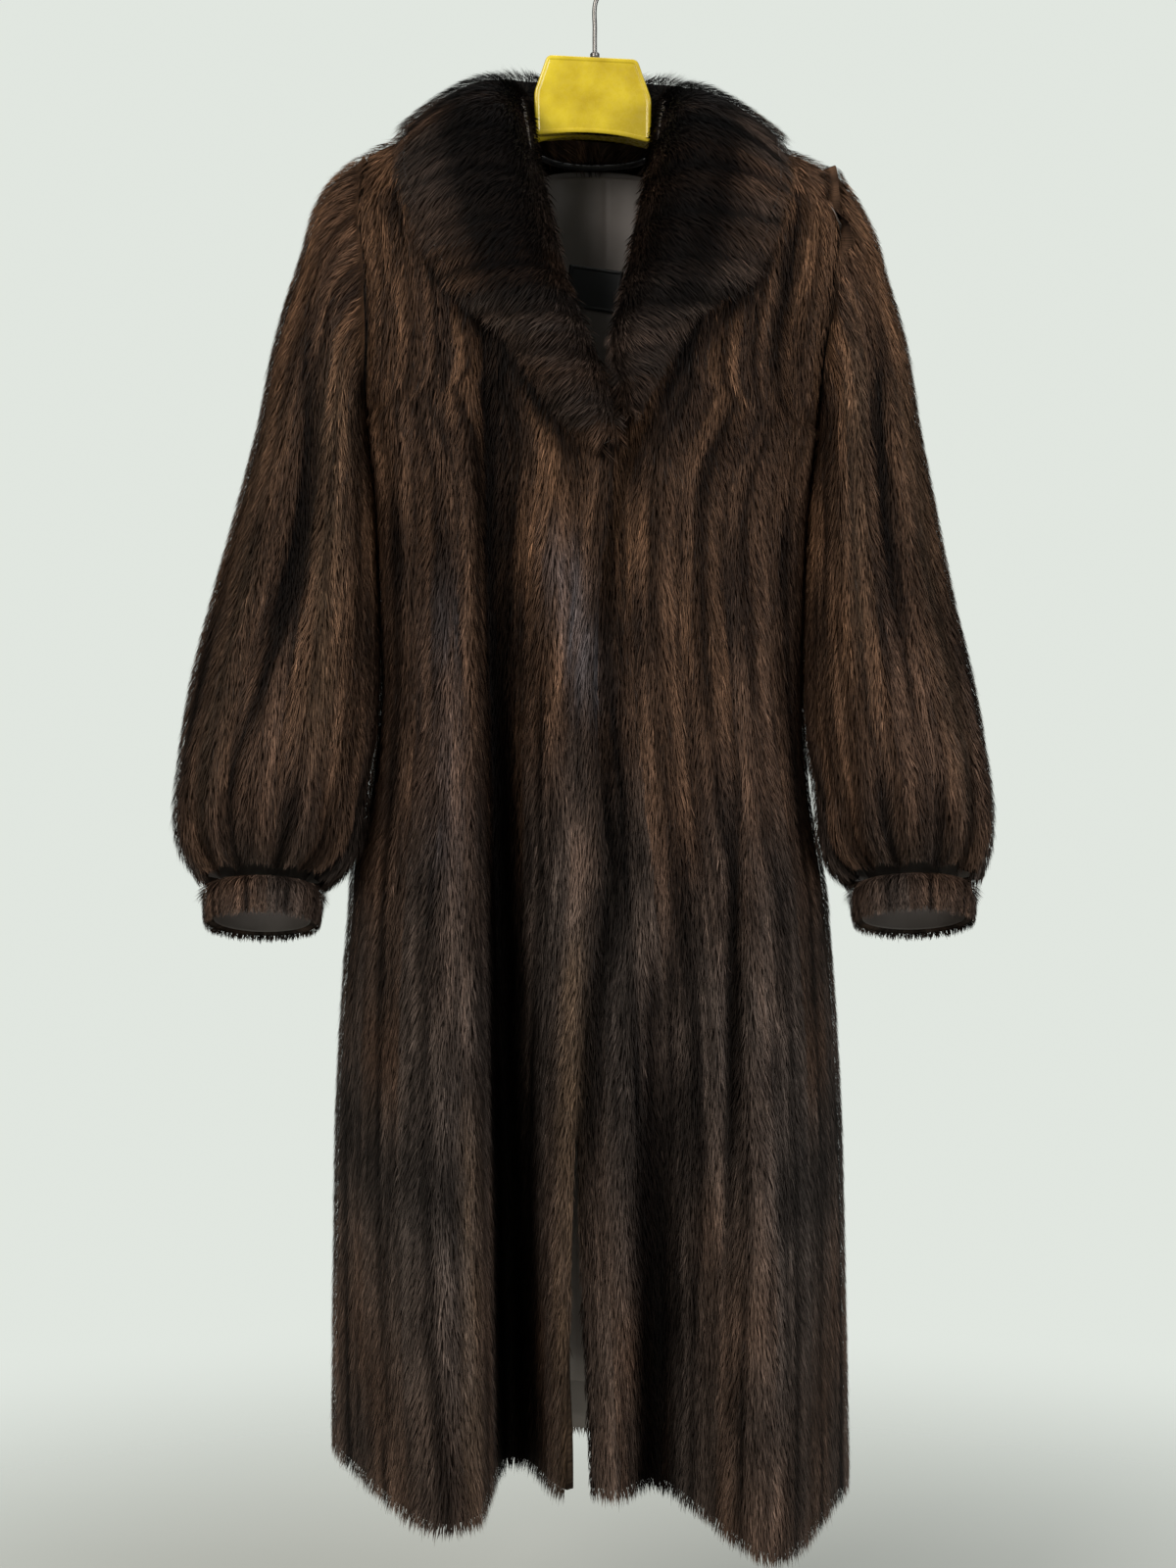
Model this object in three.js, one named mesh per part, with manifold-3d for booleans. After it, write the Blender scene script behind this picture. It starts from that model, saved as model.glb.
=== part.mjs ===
// A full-length fur coat with a shawl collar and bishop sleeves, hung on a moulded hanger.
// Millimetres, +Z up. The front faces -Y. The origin is the inside top of the hook.
// Left and right are the viewer's, facing the front.

import * as THREE from 'three';
import { mergeVertices } from 'three/addons/utils/BufferGeometryUtils.js';
import Module from 'manifold-3d';

const wasm = await Module();
wasm.setup();

// Turns rows of values into objects with the named columns
function tableOf(columns, rows) {
  return rows.map((row) => Object.fromEntries(columns.map((column, i) => [column, row[i]])));
}

// Walls and gaps
const furWall = 12;
const liningWall = 1.5;
const labelWall = 0.8;
const seamGap = 0.7;
const liningGap = 1.4;
const layerGap = 5;
const labelSeat = furWall + liningGap + liningWall + seamGap;

// Body: the hem, the height where the shoulders start to round over, and how high and deep they are
const hemLevel = -1345;
const shoulderStart = -277;
const shoulderTop = -200;
const shoulderRise = 80;
const shoulderDepth = 80;
const highest = -126;

// Armholes: how much of the depth they take, their middle and their lowest point
const armholeShare = 0.8;
const armholeMiddle = -316;
const underarm = -432;
const armholeSquare = 2.4;

// Forward shoulder seam and neck edge of the back, as angles round the shoulder in degrees
const seamAngle = { left: 20, right: 27 };
const neckAngle = 20.5;
const neckInner = 52;
const neckOuter = 90;

// Height, half widths, side seam, front and back depth and squareness of the body
const bodyLevels = [
  { z: -200, left: 210, right: 212, side: 0, front: -80, back: 80, square: 6 },
  { z: -256, left: 213, right: 220, side: 0, front: -80, back: 80, square: 6 },
  { z: -277, left: 210, right: 220, side: 0, front: -80, back: 80, square: 6 },
  { z: -332, left: 204, right: 212, side: 0, front: -85, back: 84, square: 6 },
  { z: -375, left: 200, right: 201, side: 1, front: -89, back: 88, square: 5.6 },
  { z: -430, left: 195, right: 191, side: 4, front: -92, back: 92, square: 5 },
  { z: -520, left: 188, right: 184, side: 12, front: -92, back: 97, square: 4 },
  { z: -640, left: 186, right: 183, side: 22, front: -92, back: 102, square: 3.2 },
  { z: -700, left: 188, right: 184, side: 28, front: -92, back: 104, square: 3 },
  { z: -770, left: 199, right: 193, side: 35, front: -92, back: 108, square: 2.8 },
  { z: -830, left: 216, right: 208, side: 40, front: -92, back: 112, square: 2.6 },
  { z: -1000, left: 231, right: 222, side: 55, front: -86, back: 124, square: 2.5 },
  { z: -1180, left: 236, right: 228, side: 68, front: -76, back: 132, square: 2.5 },
  { z: -1345, left: 238, right: 232, side: 75, front: -64, back: 139, square: 2.5 },
];

// Heights of the rows of points, up to the start of the shoulder
const bodyRows = [
  -1345, -1300, -1200, -1090, -980, -880, -790, -720, -640, -550, -480, -442, -424, -395, -355,
  -315, -277,
];
const shoulderRows = 6;
const backColumns = 24;
const frontColumns = 24;

// The shoulder line, lower at the right because the hanger leans
const shoulderLine = [
  { x: -240, z: -206 },
  { x: -208, z: -186 },
  { x: -184, z: -174 },
  { x: -163, z: -166 },
  { x: -70, z: -133 },
  { x: 0, z: -126 },
  { x: 70, z: -135 },
  { x: 165, z: -177 },
  { x: 199, z: -191 },
  { x: 240, z: -215 },
];

// The hem of the fronts and of the back
const frontHem = [
  { x: -240, z: -1330 },
  { x: -122, z: -1351 },
  { x: -20, z: -1345 },
  { x: 60, z: -1346 },
  { x: 148, z: -1378 },
  { x: 232, z: -1363 },
];
const backHem = [
  { x: -240, z: -1330 },
  { x: -100, z: -1340 },
  { x: 100, z: -1346 },
  { x: 232, z: -1363 },
];

// Long folds: their place at the hem and at the top, their reach to each side, their depth (outwards is
// positive), the heights where they start, are fullest and end, and how many extra columns they draw
const foldColumns = ['name', 'hem', 'top', 'left', 'right', 'depth', 'from', 'full', 'end', 'dense'];
const frontFolds = tableOf(foldColumns, [
  ['left flute', -130, -128, 104, 92, 92, -420, -1345, 0, 0],
  ['left pleat', -79, -93, 15, 56, -150, -300, -1345, 0, 3],
  ['left chest', -150, -150, 22, 26, -7, -300, -560, -1100, 0],
  ['centre lobe', 16, 16, 30, 24, 8, -1000, -1345, 0, 0],
  ['right valley', 54, 44, 30, 30, -34, -860, -1345, 0, 0.6],
  ['right flute', 150, 140, 84, 84, 92, -560, -1345, 0, 0],
  ['right crease', 112, 122, 16, 16, -12, -640, -900, -1345, 0.8],
  ['right chest', 160, 170, 20, 16, -9, -240, -340, -560, 0],
]);
const backFolds = tableOf(foldColumns, [
  ['left flute', -150, -120, 60, 56, 26, -600, -1345, 0, 0],
  ['left valley', -84, -70, 34, 30, -38, -520, -1345, 0, 0.4],
  ['centre flute', -20, -16, 46, 50, 14, -700, -1345, 0, 0],
  ['right valley', 62, 52, 34, 36, -32, -640, -1345, 0, 0.4],
  ['right flute', 134, 112, 52, 60, 30, -560, -1345, 0, 0],
]);

// The free edges of the fronts. Above the closing of the collar they run out to the shoulder.
const leftEdge = [
  { z: -130, x: -80 },
  { z: -187, x: -78 },
  { z: -310, x: -42 },
  { z: -366, x: -14 },
  { z: -405, x: 4 },
  { z: -445, x: 19 },
  { z: -509, x: 13 },
  { z: -578, x: 6 },
  { z: -707, x: 5 },
  { z: -798, x: 11 },
  { z: -920, x: -4 },
  { z: -1032, x: -14 },
  { z: -1192, x: -19 },
  { z: -1345, x: -25 },
];
const rightEdge = [
  { z: -130, x: 80 },
  { z: -187, x: 78 },
  { z: -310, x: 44 },
  { z: -366, x: 20 },
  { z: -400, x: 2 },
  { z: -450, x: -30 },
  { z: -520, x: -34 },
  { z: -900, x: -19 },
  { z: -1160, x: -13 },
  { z: -1345, x: -6 },
];
const underlapEase = 46;
const underlapTop = { none: -330, full: -400 };

// The folds' extra columns lie within an angle, folds fade towards the sides, and walls turn smoothly
const foldSpread = 0.12;
const spreadSteps = 160;
const sideFade = 1.6;
const normalReach = 30;

// Sleeves: outer and inner line of each, middle and half depth front to back, and the tilt of the ring
const sleeveStations = ['at', 'outX', 'outZ', 'inX', 'inZ', 'mid', 'deep', 'tilt'];
const leftSleeve = tableOf(sleeveStations, [
  [0, -212, -190, -197, -432, 0, 71, 0],
  [0.08, -237, -212, -197, -440, -3, 71, 0],
  [0.18, -258, -277, -195, -456, -7, 69, 0],
  [0.3, -279, -348, -190.8, -484, -12, 68, 0],
  [0.42, -294, -425, -189.2, -522, -16, 68, 0],
  [0.54, -313, -501, -187.8, -570, -20, 70, 0],
  [0.66, -332, -575, -187.2, -626, -26, 74, 2],
  [0.78, -350, -651, -189.5, -690, -32, 78, 5],
  [0.88, -360, -728, -196, -748, -37, 79, 9],
  [0.95, -358, -786, -207, -795, -38, 70, 14],
  [1, -341, -824, -231, -824, -38, 46, 20],
]);
const rightSleeve = tableOf(sleeveStations, [
  [0, 214, -204, 193, -438, 0, 71, 0],
  [0.08, 240, -238, 193.5, -447, -3, 71, 0],
  [0.18, 259, -299, 190.5, -464, -7, 69, 0],
  [0.3, 274, -355, 187, -492, -12, 68, 0],
  [0.42, 285, -425, 185.3, -528, -16, 68, 0],
  [0.54, 299, -501, 184.3, -576, -20, 70, 0],
  [0.66, 314, -580, 184.3, -630, -26, 74, 2],
  [0.78, 331, -658, 185.5, -692, -32, 78, 5],
  [0.88, 341, -730, 192, -748, -37, 79, 9],
  [0.95, 341, -784, 199, -795, -38, 70, 14],
  [1, 333, -822, 218, -822, -38, 46, 20],
]);
const sleeveRows = [0, 0.05, 0.11, 0.19, 0.29, 0.39, 0.49, 0.59, 0.69, 0.78, 0.86, 0.92, 0.96, 0.985, 1];
const sleeveSquare = 2.3;
const sleeveColumns = 36;
const cuffColumns = 24;

// Sleeve head on the body's side: its ring, wall and gap, the places across where the body's level and
// the shoulder's height are read, how much of that height it follows, and how deep it may sit
const sleeveHead = {
  middle: -316, high: 121, deep: 68, wall: 11, ease: 0.12, gap: 2.6,
  bodyX: 205, shoulderX: 212, follow: 0.9, deepest: 0.93,
};

// Folds along the sleeves: place round the ring in degrees (90 is the front) in the upper and the lower
// half, reach, depth and run
const sleeveFoldColumns = ['name', 'round', 'lower', 'reach', 'depth', 'from', 'full', 'end'];
const leftSleeveFolds = tableOf(sleeveFoldColumns, [
  ['front valley', 92, 68, 20, -12, 0.06, 0.45, 1],
  ['front ridge', 126, 104, 24, 5, 0.12, 0.5, 0.98],
  ['outer valley', 36, 30, 20, -7, 0.35, 0.75, 1],
  ['back valley', 262, 262, 26, -10, 0.1, 0.6, 1],
  ['back ridge', 306, 306, 24, 5, 0.2, 0.7, 0.98],
]);
const rightSleeveFolds = tableOf(sleeveFoldColumns, [
  ['front valley', 80, 76, 20, -12, 0.06, 0.4, 0.95],
  ['front ridge', 116, 112, 20, 6, 0.1, 0.5, 0.98],
  ['outer valley', 44, 40, 20, -8, 0.3, 0.7, 1],
  ['back valley', 278, 278, 26, -9, 0.1, 0.6, 1],
]);
const foldTurn = { from: 0.45, to: 0.92 };
const gathers = { count: 12, depth: 6, from: 0.8, full: 0.96 };

// Cuffs
const cuffHeight = 39;
const cuffEase = 1.5;
const cuffRounding = 4;

// Collar: the inner edge, the roll and the outer edge at each station, from the left tip round the back
const collarStations = [
  { seam: [20, -98, -446], roll: [14, -113, -448], edge: [5, -100, -453] },
  { seam: [17, -97, -420], roll: [0, -121, -420], edge: [-29, -100, -418] },
  { seam: [3, -90, -372], roll: [-18, -122, -370], edge: [-68, -98, -358] },
  { seam: [-20, -80, -312], roll: [-48, -122, -306], edge: [-122, -96, -306] },
  { seam: [-37, -62, -240], roll: [-68, -114, -228], edge: [-157, -88, -232] },
  { seam: [-50, -36, -180], roll: [-78, -84, -150], edge: [-163, -64, -190] },
  { seam: [-56, 10, -139], roll: [-76, 8, -110], edge: [-153, 20, -163] },
  { seam: [-41, 46, -172], roll: [-50, 62, -98], edge: [-92, 84, -178] },
  { seam: [0, 60, -177], roll: [0, 76, -94], edge: [0, 92, -188] },
  { seam: [41, 46, -174], roll: [50, 62, -100], edge: [92, 84, -180] },
  { seam: [55.2, 10, -142], roll: [71, 8, -117], edge: [151, 20, -169] },
  { seam: [49, -36, -186], roll: [74, -84, -156], edge: [159, -64, -196] },
  { seam: [37, -62, -245], roll: [66, -114, -234], edge: [157, -88, -236] },
  { seam: [22, -80, -318], roll: [48, -122, -306], edge: [132, -96, -300] },
  { seam: [12, -90, -366], roll: [28, -122, -360], edge: [80, -98, -340] },
  { seam: [22, -97, -404], roll: [30, -119, -402], edge: [46, -100, -398] },
  { seam: [25, -99, -424], roll: [28, -112, -425], edge: [33, -101, -423] },
];
const collarSections = 40;
const collarAcross = 9;
const collarUnder = 7;
const collarWall = 10;
const collarLift = 4;
const sideLimit = 0.97;
const rollShare = 0.4;
const underShare = 0.16;

// Lining, piping and label
const liningTop = { centre: 4, neck: 40, sides: 92, end: 0.99 };
const liningInset = 0.06;
const pipingRadius = 2.6;
const pipingPath = [
  [-46, 33, -177.4],
  [-36, 46, -178.3],
  [-20, 54, -179.4],
  [0, 57.5, -179.8],
  [20, 54, -179.8],
  [36, 46, -179.8],
  [46, 33, -179.4],
];
const label = { x: 0, z: -287, width: 49, height: 38, tilt: 8 };

// Hanger: outline of the plate, arms under the shoulders, wire hook and ferrule
const plateDepth = 26;
const plateBevel = 2;
const plateOutline = [
  { x: -41, z: -97.5 },
  { x: 38, z: -101.5 },
  { x: 50.5, z: -137 },
  { x: 50, z: -175 },
  { x: 20, z: -168 },
  { x: -14, z: -165.5 },
  { x: -51.5, z: -168 },
  { x: -52.5, z: -130.5 },
];
const armSections = [
  { x: 30, high: 14, deep: 14, drop: 14 },
  { x: 46, high: 15, deep: 14, drop: 14 },
  { x: 62, high: 20, deep: 18, drop: 13 },
  { x: 78, high: 25, deep: 24, drop: 10 },
  { x: 94, high: 27, deep: 28, drop: 0.3 },
  { x: 130, high: 28, deep: 30, drop: 0.3 },
  { x: 165, high: 29, deep: 32, drop: 0.3 },
  { x: 180, high: 26, deep: 32, drop: 1 },
  { x: 188, high: 16, deep: 26, drop: 5 },
];
const armGap = 0.9;
const armSides = 14;
const wireRadius = 2;
const hookRadius = 20;
const hookStemX = 0.8;
const hookBend = [-48, -20, 10, 40, 65, 90, 115, 140, 165, 190, 208];
const ferruleRadius = 4.5;
const ferruleHeight = 6;
const plateTop = -99.3;

const finishes = {
  fur: { color: 0x2a1c16, roughness: 0.7, metalness: 0 },
  lining: { color: 0x48403e, roughness: 0.5, metalness: 0 },
  trim: { color: 0x101012, roughness: 0.45, metalness: 0 },
  hanger: { color: 0xb89a1c, roughness: 0.3, metalness: 0 },
  wire: { color: 0x9a9a98, roughness: 0.35, metalness: 0.9 },
};

// Small arithmetic
const lerp = THREE.MathUtils.lerp;
const clamp = THREE.MathUtils.clamp;
const smooth = THREE.MathUtils.smoothstep;
const rad = THREE.MathUtils.degToRad;

// Reads a column of a table at a value of its key column, with a smooth curve through the rows
function read(table, key, name, value) {
  const rising = table[0][key] < table[table.length - 1][key];
  const rows = rising ? table : [...table].reverse();
  const last = rows.length - 1;
  const at = clamp(value, rows[0][key], rows[last][key]);
  let i = 0;
  while (i < last - 1 && at > rows[i + 1][key]) i += 1;
  const slope = (j) => {
    const a = rows[Math.max(j - 1, 0)];
    const b = rows[Math.min(j + 1, last)];
    return (b[name] - a[name]) / (b[key] - a[key]);
  };
  const span = rows[i + 1][key] - rows[i][key];
  const t = (at - rows[i][key]) / span;
  const bend = t * t * (3 - 2 * t);
  const enter = t * (1 - t) * (1 - t) * span * slope(i);
  const leave = t * t * (t - 1) * span * slope(i + 1);
  return lerp(rows[i][name], rows[i + 1][name], bend) + enter + leave;
}

// How strong a fold is at a height or station between its start, its fullest place and its end
function foldStrength(fold, at) {
  const rise = clamp((at - fold.from) / (fold.full - fold.from), 0, 1);
  const fade = fold.end === 0 ? 0 : clamp((at - fold.full) / (fold.end - fold.full), 0, 1);
  return rise * (1 - smooth(fade, 0, 1));
}

// A fold's shape across: one at its middle and nothing at its reach
function foldShape(offset, before, after) {
  const share = Math.abs(offset) / (offset < 0 ? before : after);
  return share < 1 ? Math.cos((share * Math.PI) / 2) ** 2 : 0;
}

// Body surface. The angle runs from the right side seam (0) over the middle to the left one (pi).
// The station v runs from the hem (0) to the start of the shoulder (1) and over its top (2).

function levelOf(v) {
  if (v <= 1) return lerp(hemLevel, shoulderStart, v);
  return lerp(shoulderStart, shoulderTop, Math.sin(rad(90 * Math.min(v - 1, 1))));
}

// The level whose section passes through a height of the body at a place across
function levelAt(x, z) {
  const start = read(shoulderLine, 'x', 'z', x) - shoulderRise;
  const hem = read(frontHem, 'x', 'z', x);
  return lerp(hemLevel, shoulderStart, clamp((z - hem) / (start - hem), 0, 1));
}

function sectionAt(face, level) {
  const get = (name) => read(bodyLevels, 'z', name, level);
  return {
    left: get('left'),
    right: get('right'),
    side: get('side'),
    reach: get(face),
    square: get('square'),
  };
}

function angleOf(share, square) {
  const rise = (1 - Math.min(Math.abs(share), 1) ** square) ** (1 / square);
  return Math.atan2(rise, share);
}

function foldPlace(fold, v) {
  return lerp(fold.hem, fold.top, clamp(v, 0, 1));
}

function foldOffset(face, x, z, v, rise) {
  const folds = face === 'front' ? frontFolds : backFolds;
  let sum = 0;
  for (const fold of folds) {
    const shape = foldShape(x - foldPlace(fold, v), fold.left, fold.right);
    sum += fold.depth * foldStrength(fold, z) * shape;
  }
  return sum * clamp(rise * sideFade, 0, 1);
}

// Where the right front passes under the left one, it lies deeper by a wall and a gap
function underlap(x, z) {
  const edge = read(leftEdge, 'z', 'x', z);
  const below = smooth(-z, -underlapTop.none, -underlapTop.full);
  return (furWall + layerGap) * below * (1 - smooth(x, edge + 2, edge + underlapEase));
}

function bodyPoint(face, angle, v, under = false) {
  const section = sectionAt(face, levelOf(v));
  const c = Math.cos(angle);
  const s = Math.sin(angle);
  const n = section.square;
  const round = (Math.abs(c) ** n + Math.abs(s) ** n) ** (-1 / n);
  const x = (c < 0 ? section.left : section.right) * c * round;
  const rise = s * round;
  const start = read(shoulderLine, 'x', 'z', x) - shoulderRise;
  const turn = rad(90 * Math.max(v - 1, 0));
  const hem = read(face === 'front' ? frontHem : backHem, 'x', 'z', x);
  const z = v <= 1 ? lerp(hem, start, v) : start + shoulderRise * Math.sin(turn);
  const outward = face === 'front' ? -1 : 1;
  let y = section.side + (section.reach - section.side) * rise * Math.cos(turn);
  if (v <= 1) y += outward * foldOffset(face, x, z, v, rise);
  if (under) y += underlap(x, z);
  return new THREE.Vector3(x, y, z);
}

// Shares of the width from start to end, closer together where folds are narrow
function spread(start, end, count, face, v) {
  const section = sectionAt(face, levelOf(v));
  const folds = (face === 'front' ? frontFolds : backFolds).filter((fold) => fold.dense > 0);
  const places = folds.map((fold) => {
    const x = foldPlace(fold, v);
    const half = x < 0 ? section.left : section.right;
    return { angle: angleOf(x / half, section.square), dense: fold.dense };
  });
  const steps = spreadSteps;
  const sums = [0];
  for (let i = 1; i <= steps; i += 1) {
    const angle = lerp(start, end, (i - 0.5) / steps);
    let weight = 1;
    for (const place of places) {
      weight += place.dense * Math.exp(-(((angle - place.angle) / foldSpread) ** 2));
    }
    sums.push(sums[i - 1] + weight);
  }
  const angles = [];
  let i = 0;
  for (let k = 0; k <= count; k += 1) {
    const wanted = (sums[steps] * k) / count;
    while (i < steps - 1 && sums[i + 1] < wanted) i += 1;
    const share = (i + (wanted - sums[i]) / (sums[i + 1] - sums[i])) / steps;
    angles.push(lerp(start, end, clamp(share, 0, 1)));
  }
  return angles;
}

// The share of the depth that the armhole takes at a height
function armholeAt(level) {
  if (level >= armholeMiddle) return armholeShare;
  const down = (armholeMiddle - level) / (armholeMiddle - underarm);
  return down >= 1 ? 0 : armholeShare * (1 - down ** armholeSquare) ** (1 / armholeSquare);
}

// The angle where a panel ends at the side: the side seam, or the armhole above it
function sideAngle(face, v) {
  const section = sectionAt(face, levelOf(v));
  const rise = armholeAt(levelOf(v));
  const share = (1 - rise ** section.square) ** (1 / section.square);
  const depth = Math.abs(section.reach - section.side) * Math.max(Math.cos(rad(90 * (v - 1))), 0.5);
  return Math.atan2(rise, share) + (rise === 0 ? seamGap / 2 / depth : 0);
}

// Walls made from grids of points

function surfaceNormal(surface, u, v) {
  const step = 0.002;
  const along = surface(u + step, v).sub(surface(u - step, v));
  const up = surface(u, v + step).sub(surface(u, v - step));
  return along.cross(up).normalize();
}

// Turns each direction of a row towards its neighbours within a distance, less near the row's ends
function easeNormals(points, normals, reach) {
  const last = points.length - 1;
  return normals.map((normal, i) => {
    const sum = new THREE.Vector3();
    const toEnd = Math.min(points[i].distanceTo(points[0]), points[i].distanceTo(points[last]));
    const within = Math.min(reach, toEnd + 1);
    points.forEach((point, j) => {
      const near = 1 - point.distanceTo(points[i]) / within;
      if (near > 0) sum.addScaledVector(normals[j], near);
    });
    return sum.normalize();
  });
}

function makeMesh(name, finish, points, faces) {
  const positions = new Float32Array(points.flatMap((point) => [point.x, point.y, point.z]));
  let volume = 0;
  for (const [a, b, c] of faces) {
    volume += points[a].dot(points[b].clone().cross(points[c]));
  }
  const turned = volume < 0 ? faces.map(([a, b, c]) => [a, c, b]) : faces;
  const geometry = new THREE.BufferGeometry();
  geometry.setAttribute('position', new THREE.BufferAttribute(positions, 3));
  geometry.setIndex(turned.flat());
  const mesh = new THREE.Mesh(geometry, new THREE.MeshStandardMaterial(finish));
  mesh.name = name;
  return mesh;
}

function quad(faces, a, b, c, d) {
  faces.push([a, b, c], [a, c, d]);
}

// A wall between two grids of the same size, closed round its rim. A ring is closed on itself.
function wallMesh(name, finish, outer, inner, ring = false) {
  const rows = outer.length;
  const columns = outer[0].length;
  const points = [...outer.flat(), ...inner.flat()];
  const faces = [];
  const out = (r, c) => r * columns + (c % columns);
  const inn = (r, c) => rows * columns + out(r, c);
  const lastColumn = ring ? columns : columns - 1;
  for (let r = 0; r < rows - 1; r += 1) {
    for (let c = 0; c < lastColumn; c += 1) {
      quad(faces, out(r, c), out(r, c + 1), out(r + 1, c + 1), out(r + 1, c));
      quad(faces, inn(r, c), inn(r + 1, c), inn(r + 1, c + 1), inn(r, c + 1));
    }
  }
  for (let c = 0; c < lastColumn; c += 1) {
    quad(faces, out(0, c + 1), out(0, c), inn(0, c), inn(0, c + 1));
    const top = rows - 1;
    quad(faces, out(top, c), out(top, c + 1), inn(top, c + 1), inn(top, c));
  }
  if (!ring) {
    for (let r = 0; r < rows - 1; r += 1) {
      quad(faces, out(r, 0), out(r + 1, 0), inn(r + 1, 0), inn(r, 0));
      const end = columns - 1;
      quad(faces, out(r + 1, end), out(r, end), inn(r, end), inn(r + 1, end));
    }
  }
  return makeMesh(name, finish, points, faces);
}

// A solid through closed sections, with a flat fan over each end
function loftMesh(name, finish, sections) {
  const count = sections[0].length;
  const points = sections.flat();
  const faces = [];
  for (let r = 0; r < sections.length - 1; r += 1) {
    for (let c = 0; c < count; c += 1) {
      const next = (c + 1) % count;
      quad(faces, r * count + c, r * count + next, (r + 1) * count + next, (r + 1) * count + c);
    }
  }
  for (const [row, flip] of [[0, true], [sections.length - 1, false]]) {
    const middle = new THREE.Vector3();
    sections[row].forEach((point) => middle.addScaledVector(point, 1 / count));
    points.push(middle);
    for (let c = 0; c < count; c += 1) {
      const a = row * count + c;
      const b = row * count + ((c + 1) % count);
      faces.push(flip ? [points.length - 1, b, a] : [points.length - 1, a, b]);
    }
  }
  return makeMesh(name, finish, points, faces);
}

// A panel of the body: rows of angles and stations, moved in from the outer surface by two depths
function panelGrids(surface, rows, depths) {
  const grids = depths.map(() => []);
  for (const row of rows) {
    const points = row.map(([angle, v]) => surface(angle, v));
    let normals = row.map(([angle, v]) => surfaceNormal(surface, angle, v));
    const middle = row[Math.floor(row.length / 2)];
    const facing = surface(middle[0], middle[1]).y < 0 ? -1 : 1;
    const away = normals[Math.floor(row.length / 2)].y * facing < 0 ? -1 : 1;
    normals = easeNormals(points, normals.map((normal) => normal.multiplyScalar(away)), normalReach);
    depths.forEach((depth, i) => {
      grids[i].push(points.map((point, j) => point.clone().addScaledVector(normals[j], -depth)));
    });
  }
  return grids;
}

function stationOf(level) {
  return (level - hemLevel) / (shoulderStart - hemLevel);
}

const seamGapAngle = THREE.MathUtils.radToDeg(seamGap / shoulderDepth) / 2;

// The height where a front's edge is read: straight up to the shoulder, then round it
function edgeHeight(v) {
  const below = lerp(hemLevel, highest - shoulderRise, Math.min(v, 1));
  return below + shoulderRise * Math.sin(rad(90 * Math.max(v - 1, 0)));
}

// One front: from its side seam or armhole to its free edge
function frontPanel(name, side) {
  const under = side === 'right';
  const surface = (angle, v) => bodyPoint('front', angle, v, under);
  const edges = side === 'left' ? leftEdge : rightEdge;
  const stations = bodyRows.map(stationOf);
  const top = 1 + (seamAngle[side] - seamGapAngle) / 90;
  stations.push(lerp(1, top, 0.5), top);
  const rows = stations.map((v) => {
    const section = sectionAt('front', levelOf(v));
    const edge = angleOf(read(edges, 'z', 'x', edgeHeight(v)) / section[side], section.square);
    const start = sideAngle('front', v);
    const outer = side === 'left' ? Math.PI - start : start;
    return spread(outer, edge, frontColumns, 'front', v).map((angle) => [angle, v]);
  });
  const [outside, inside] = panelGrids(surface, rows, [0, furWall]);
  return wallMesh(name, finishes.fur, outside, inside);
}

// The back's surface goes on over the shoulder to the front when its station passes 2
const backSurface = (angle, v) => bodyPoint('back', angle, v);

function backTop(x) {
  const seam = 1 + (180 - (x < 0 ? seamAngle.left : seamAngle.right) - seamGapAngle) / 90;
  return lerp(1 + neckAngle / 90, seam, smooth(Math.abs(x), neckInner, neckOuter));
}

function liningEnd(x) {
  const seated = smooth(Math.abs(x), liningTop.neck, liningTop.sides);
  return lerp(1 + (neckAngle - liningTop.centre) / 90, liningTop.end, seated);
}

// The back's columns, with one close to each side where the lining ends
function backAngles(v) {
  const start = sideAngle('back', v);
  const inner = spread(start + liningInset, Math.PI - start - liningInset, backColumns, 'back', v);
  return [start, ...inner, Math.PI - start];
}

function backRows(end) {
  const rows = bodyRows.map(stationOf).map((v) => backAngles(v).map((angle) => [angle, v]));
  const half = shoulderRows / 2;
  const angles = backAngles(1);
  for (let k = 1; k <= shoulderRows; k += 1) {
    rows.push(angles.map((angle) => {
      const x = backSurface(angle, 1).x;
      const last = end(x);
      const peak = last > 2 ? lerp((1 + last) / 2, 2, smooth(last, 2, 2.4)) : (1 + last) / 2;
      return [angle, k <= half ? lerp(1, peak, k / half) : lerp(peak, last, k / half - 1)];
    }));
  }
  return rows;
}

function backPanel() {
  const [outside, inside] = panelGrids(backSurface, backRows(backTop), [0, furWall]);
  return wallMesh('back', finishes.fur, outside, inside);
}

function backLining() {
  const rows = backRows(liningEnd);
  const depths = [furWall + liningGap, furWall + liningGap + liningWall];
  const [outside, inside] = panelGrids(backSurface, rows, depths);
  const trim = (grid) => grid.slice(1).map((row) => row.slice(1, -1));
  return wallMesh('lining_back', finishes.lining, trim(outside), trim(inside));
}

// Sleeves. A ring starts at the outer line (0), and passes the front (90) and the inner line (180).

function roundedCos(angle) {
  return Math.sign(Math.cos(angle)) * Math.abs(Math.cos(angle)) ** (2 / sleeveSquare);
}

function roundedSin(angle) {
  return Math.sign(Math.sin(angle)) * Math.abs(Math.sin(angle)) ** (2 / sleeveSquare);
}

// How far out the body's side lies where the sleeve meets it
function bodySide(direction, y, z) {
  const level = levelAt(direction * sleeveHead.bodyX, z);
  const section = sectionAt(y < 0 ? 'front' : 'back', level);
  const share = (y - section.side) / (section.reach - section.side);
  const depth = clamp(share, armholeAt(level), sleeveHead.deepest);
  const half = direction < 0 ? section.left : section.right;
  const across = half * (1 - depth ** section.square) ** (1 / section.square);
  return direction * (across + sleeveHead.gap);
}

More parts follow.
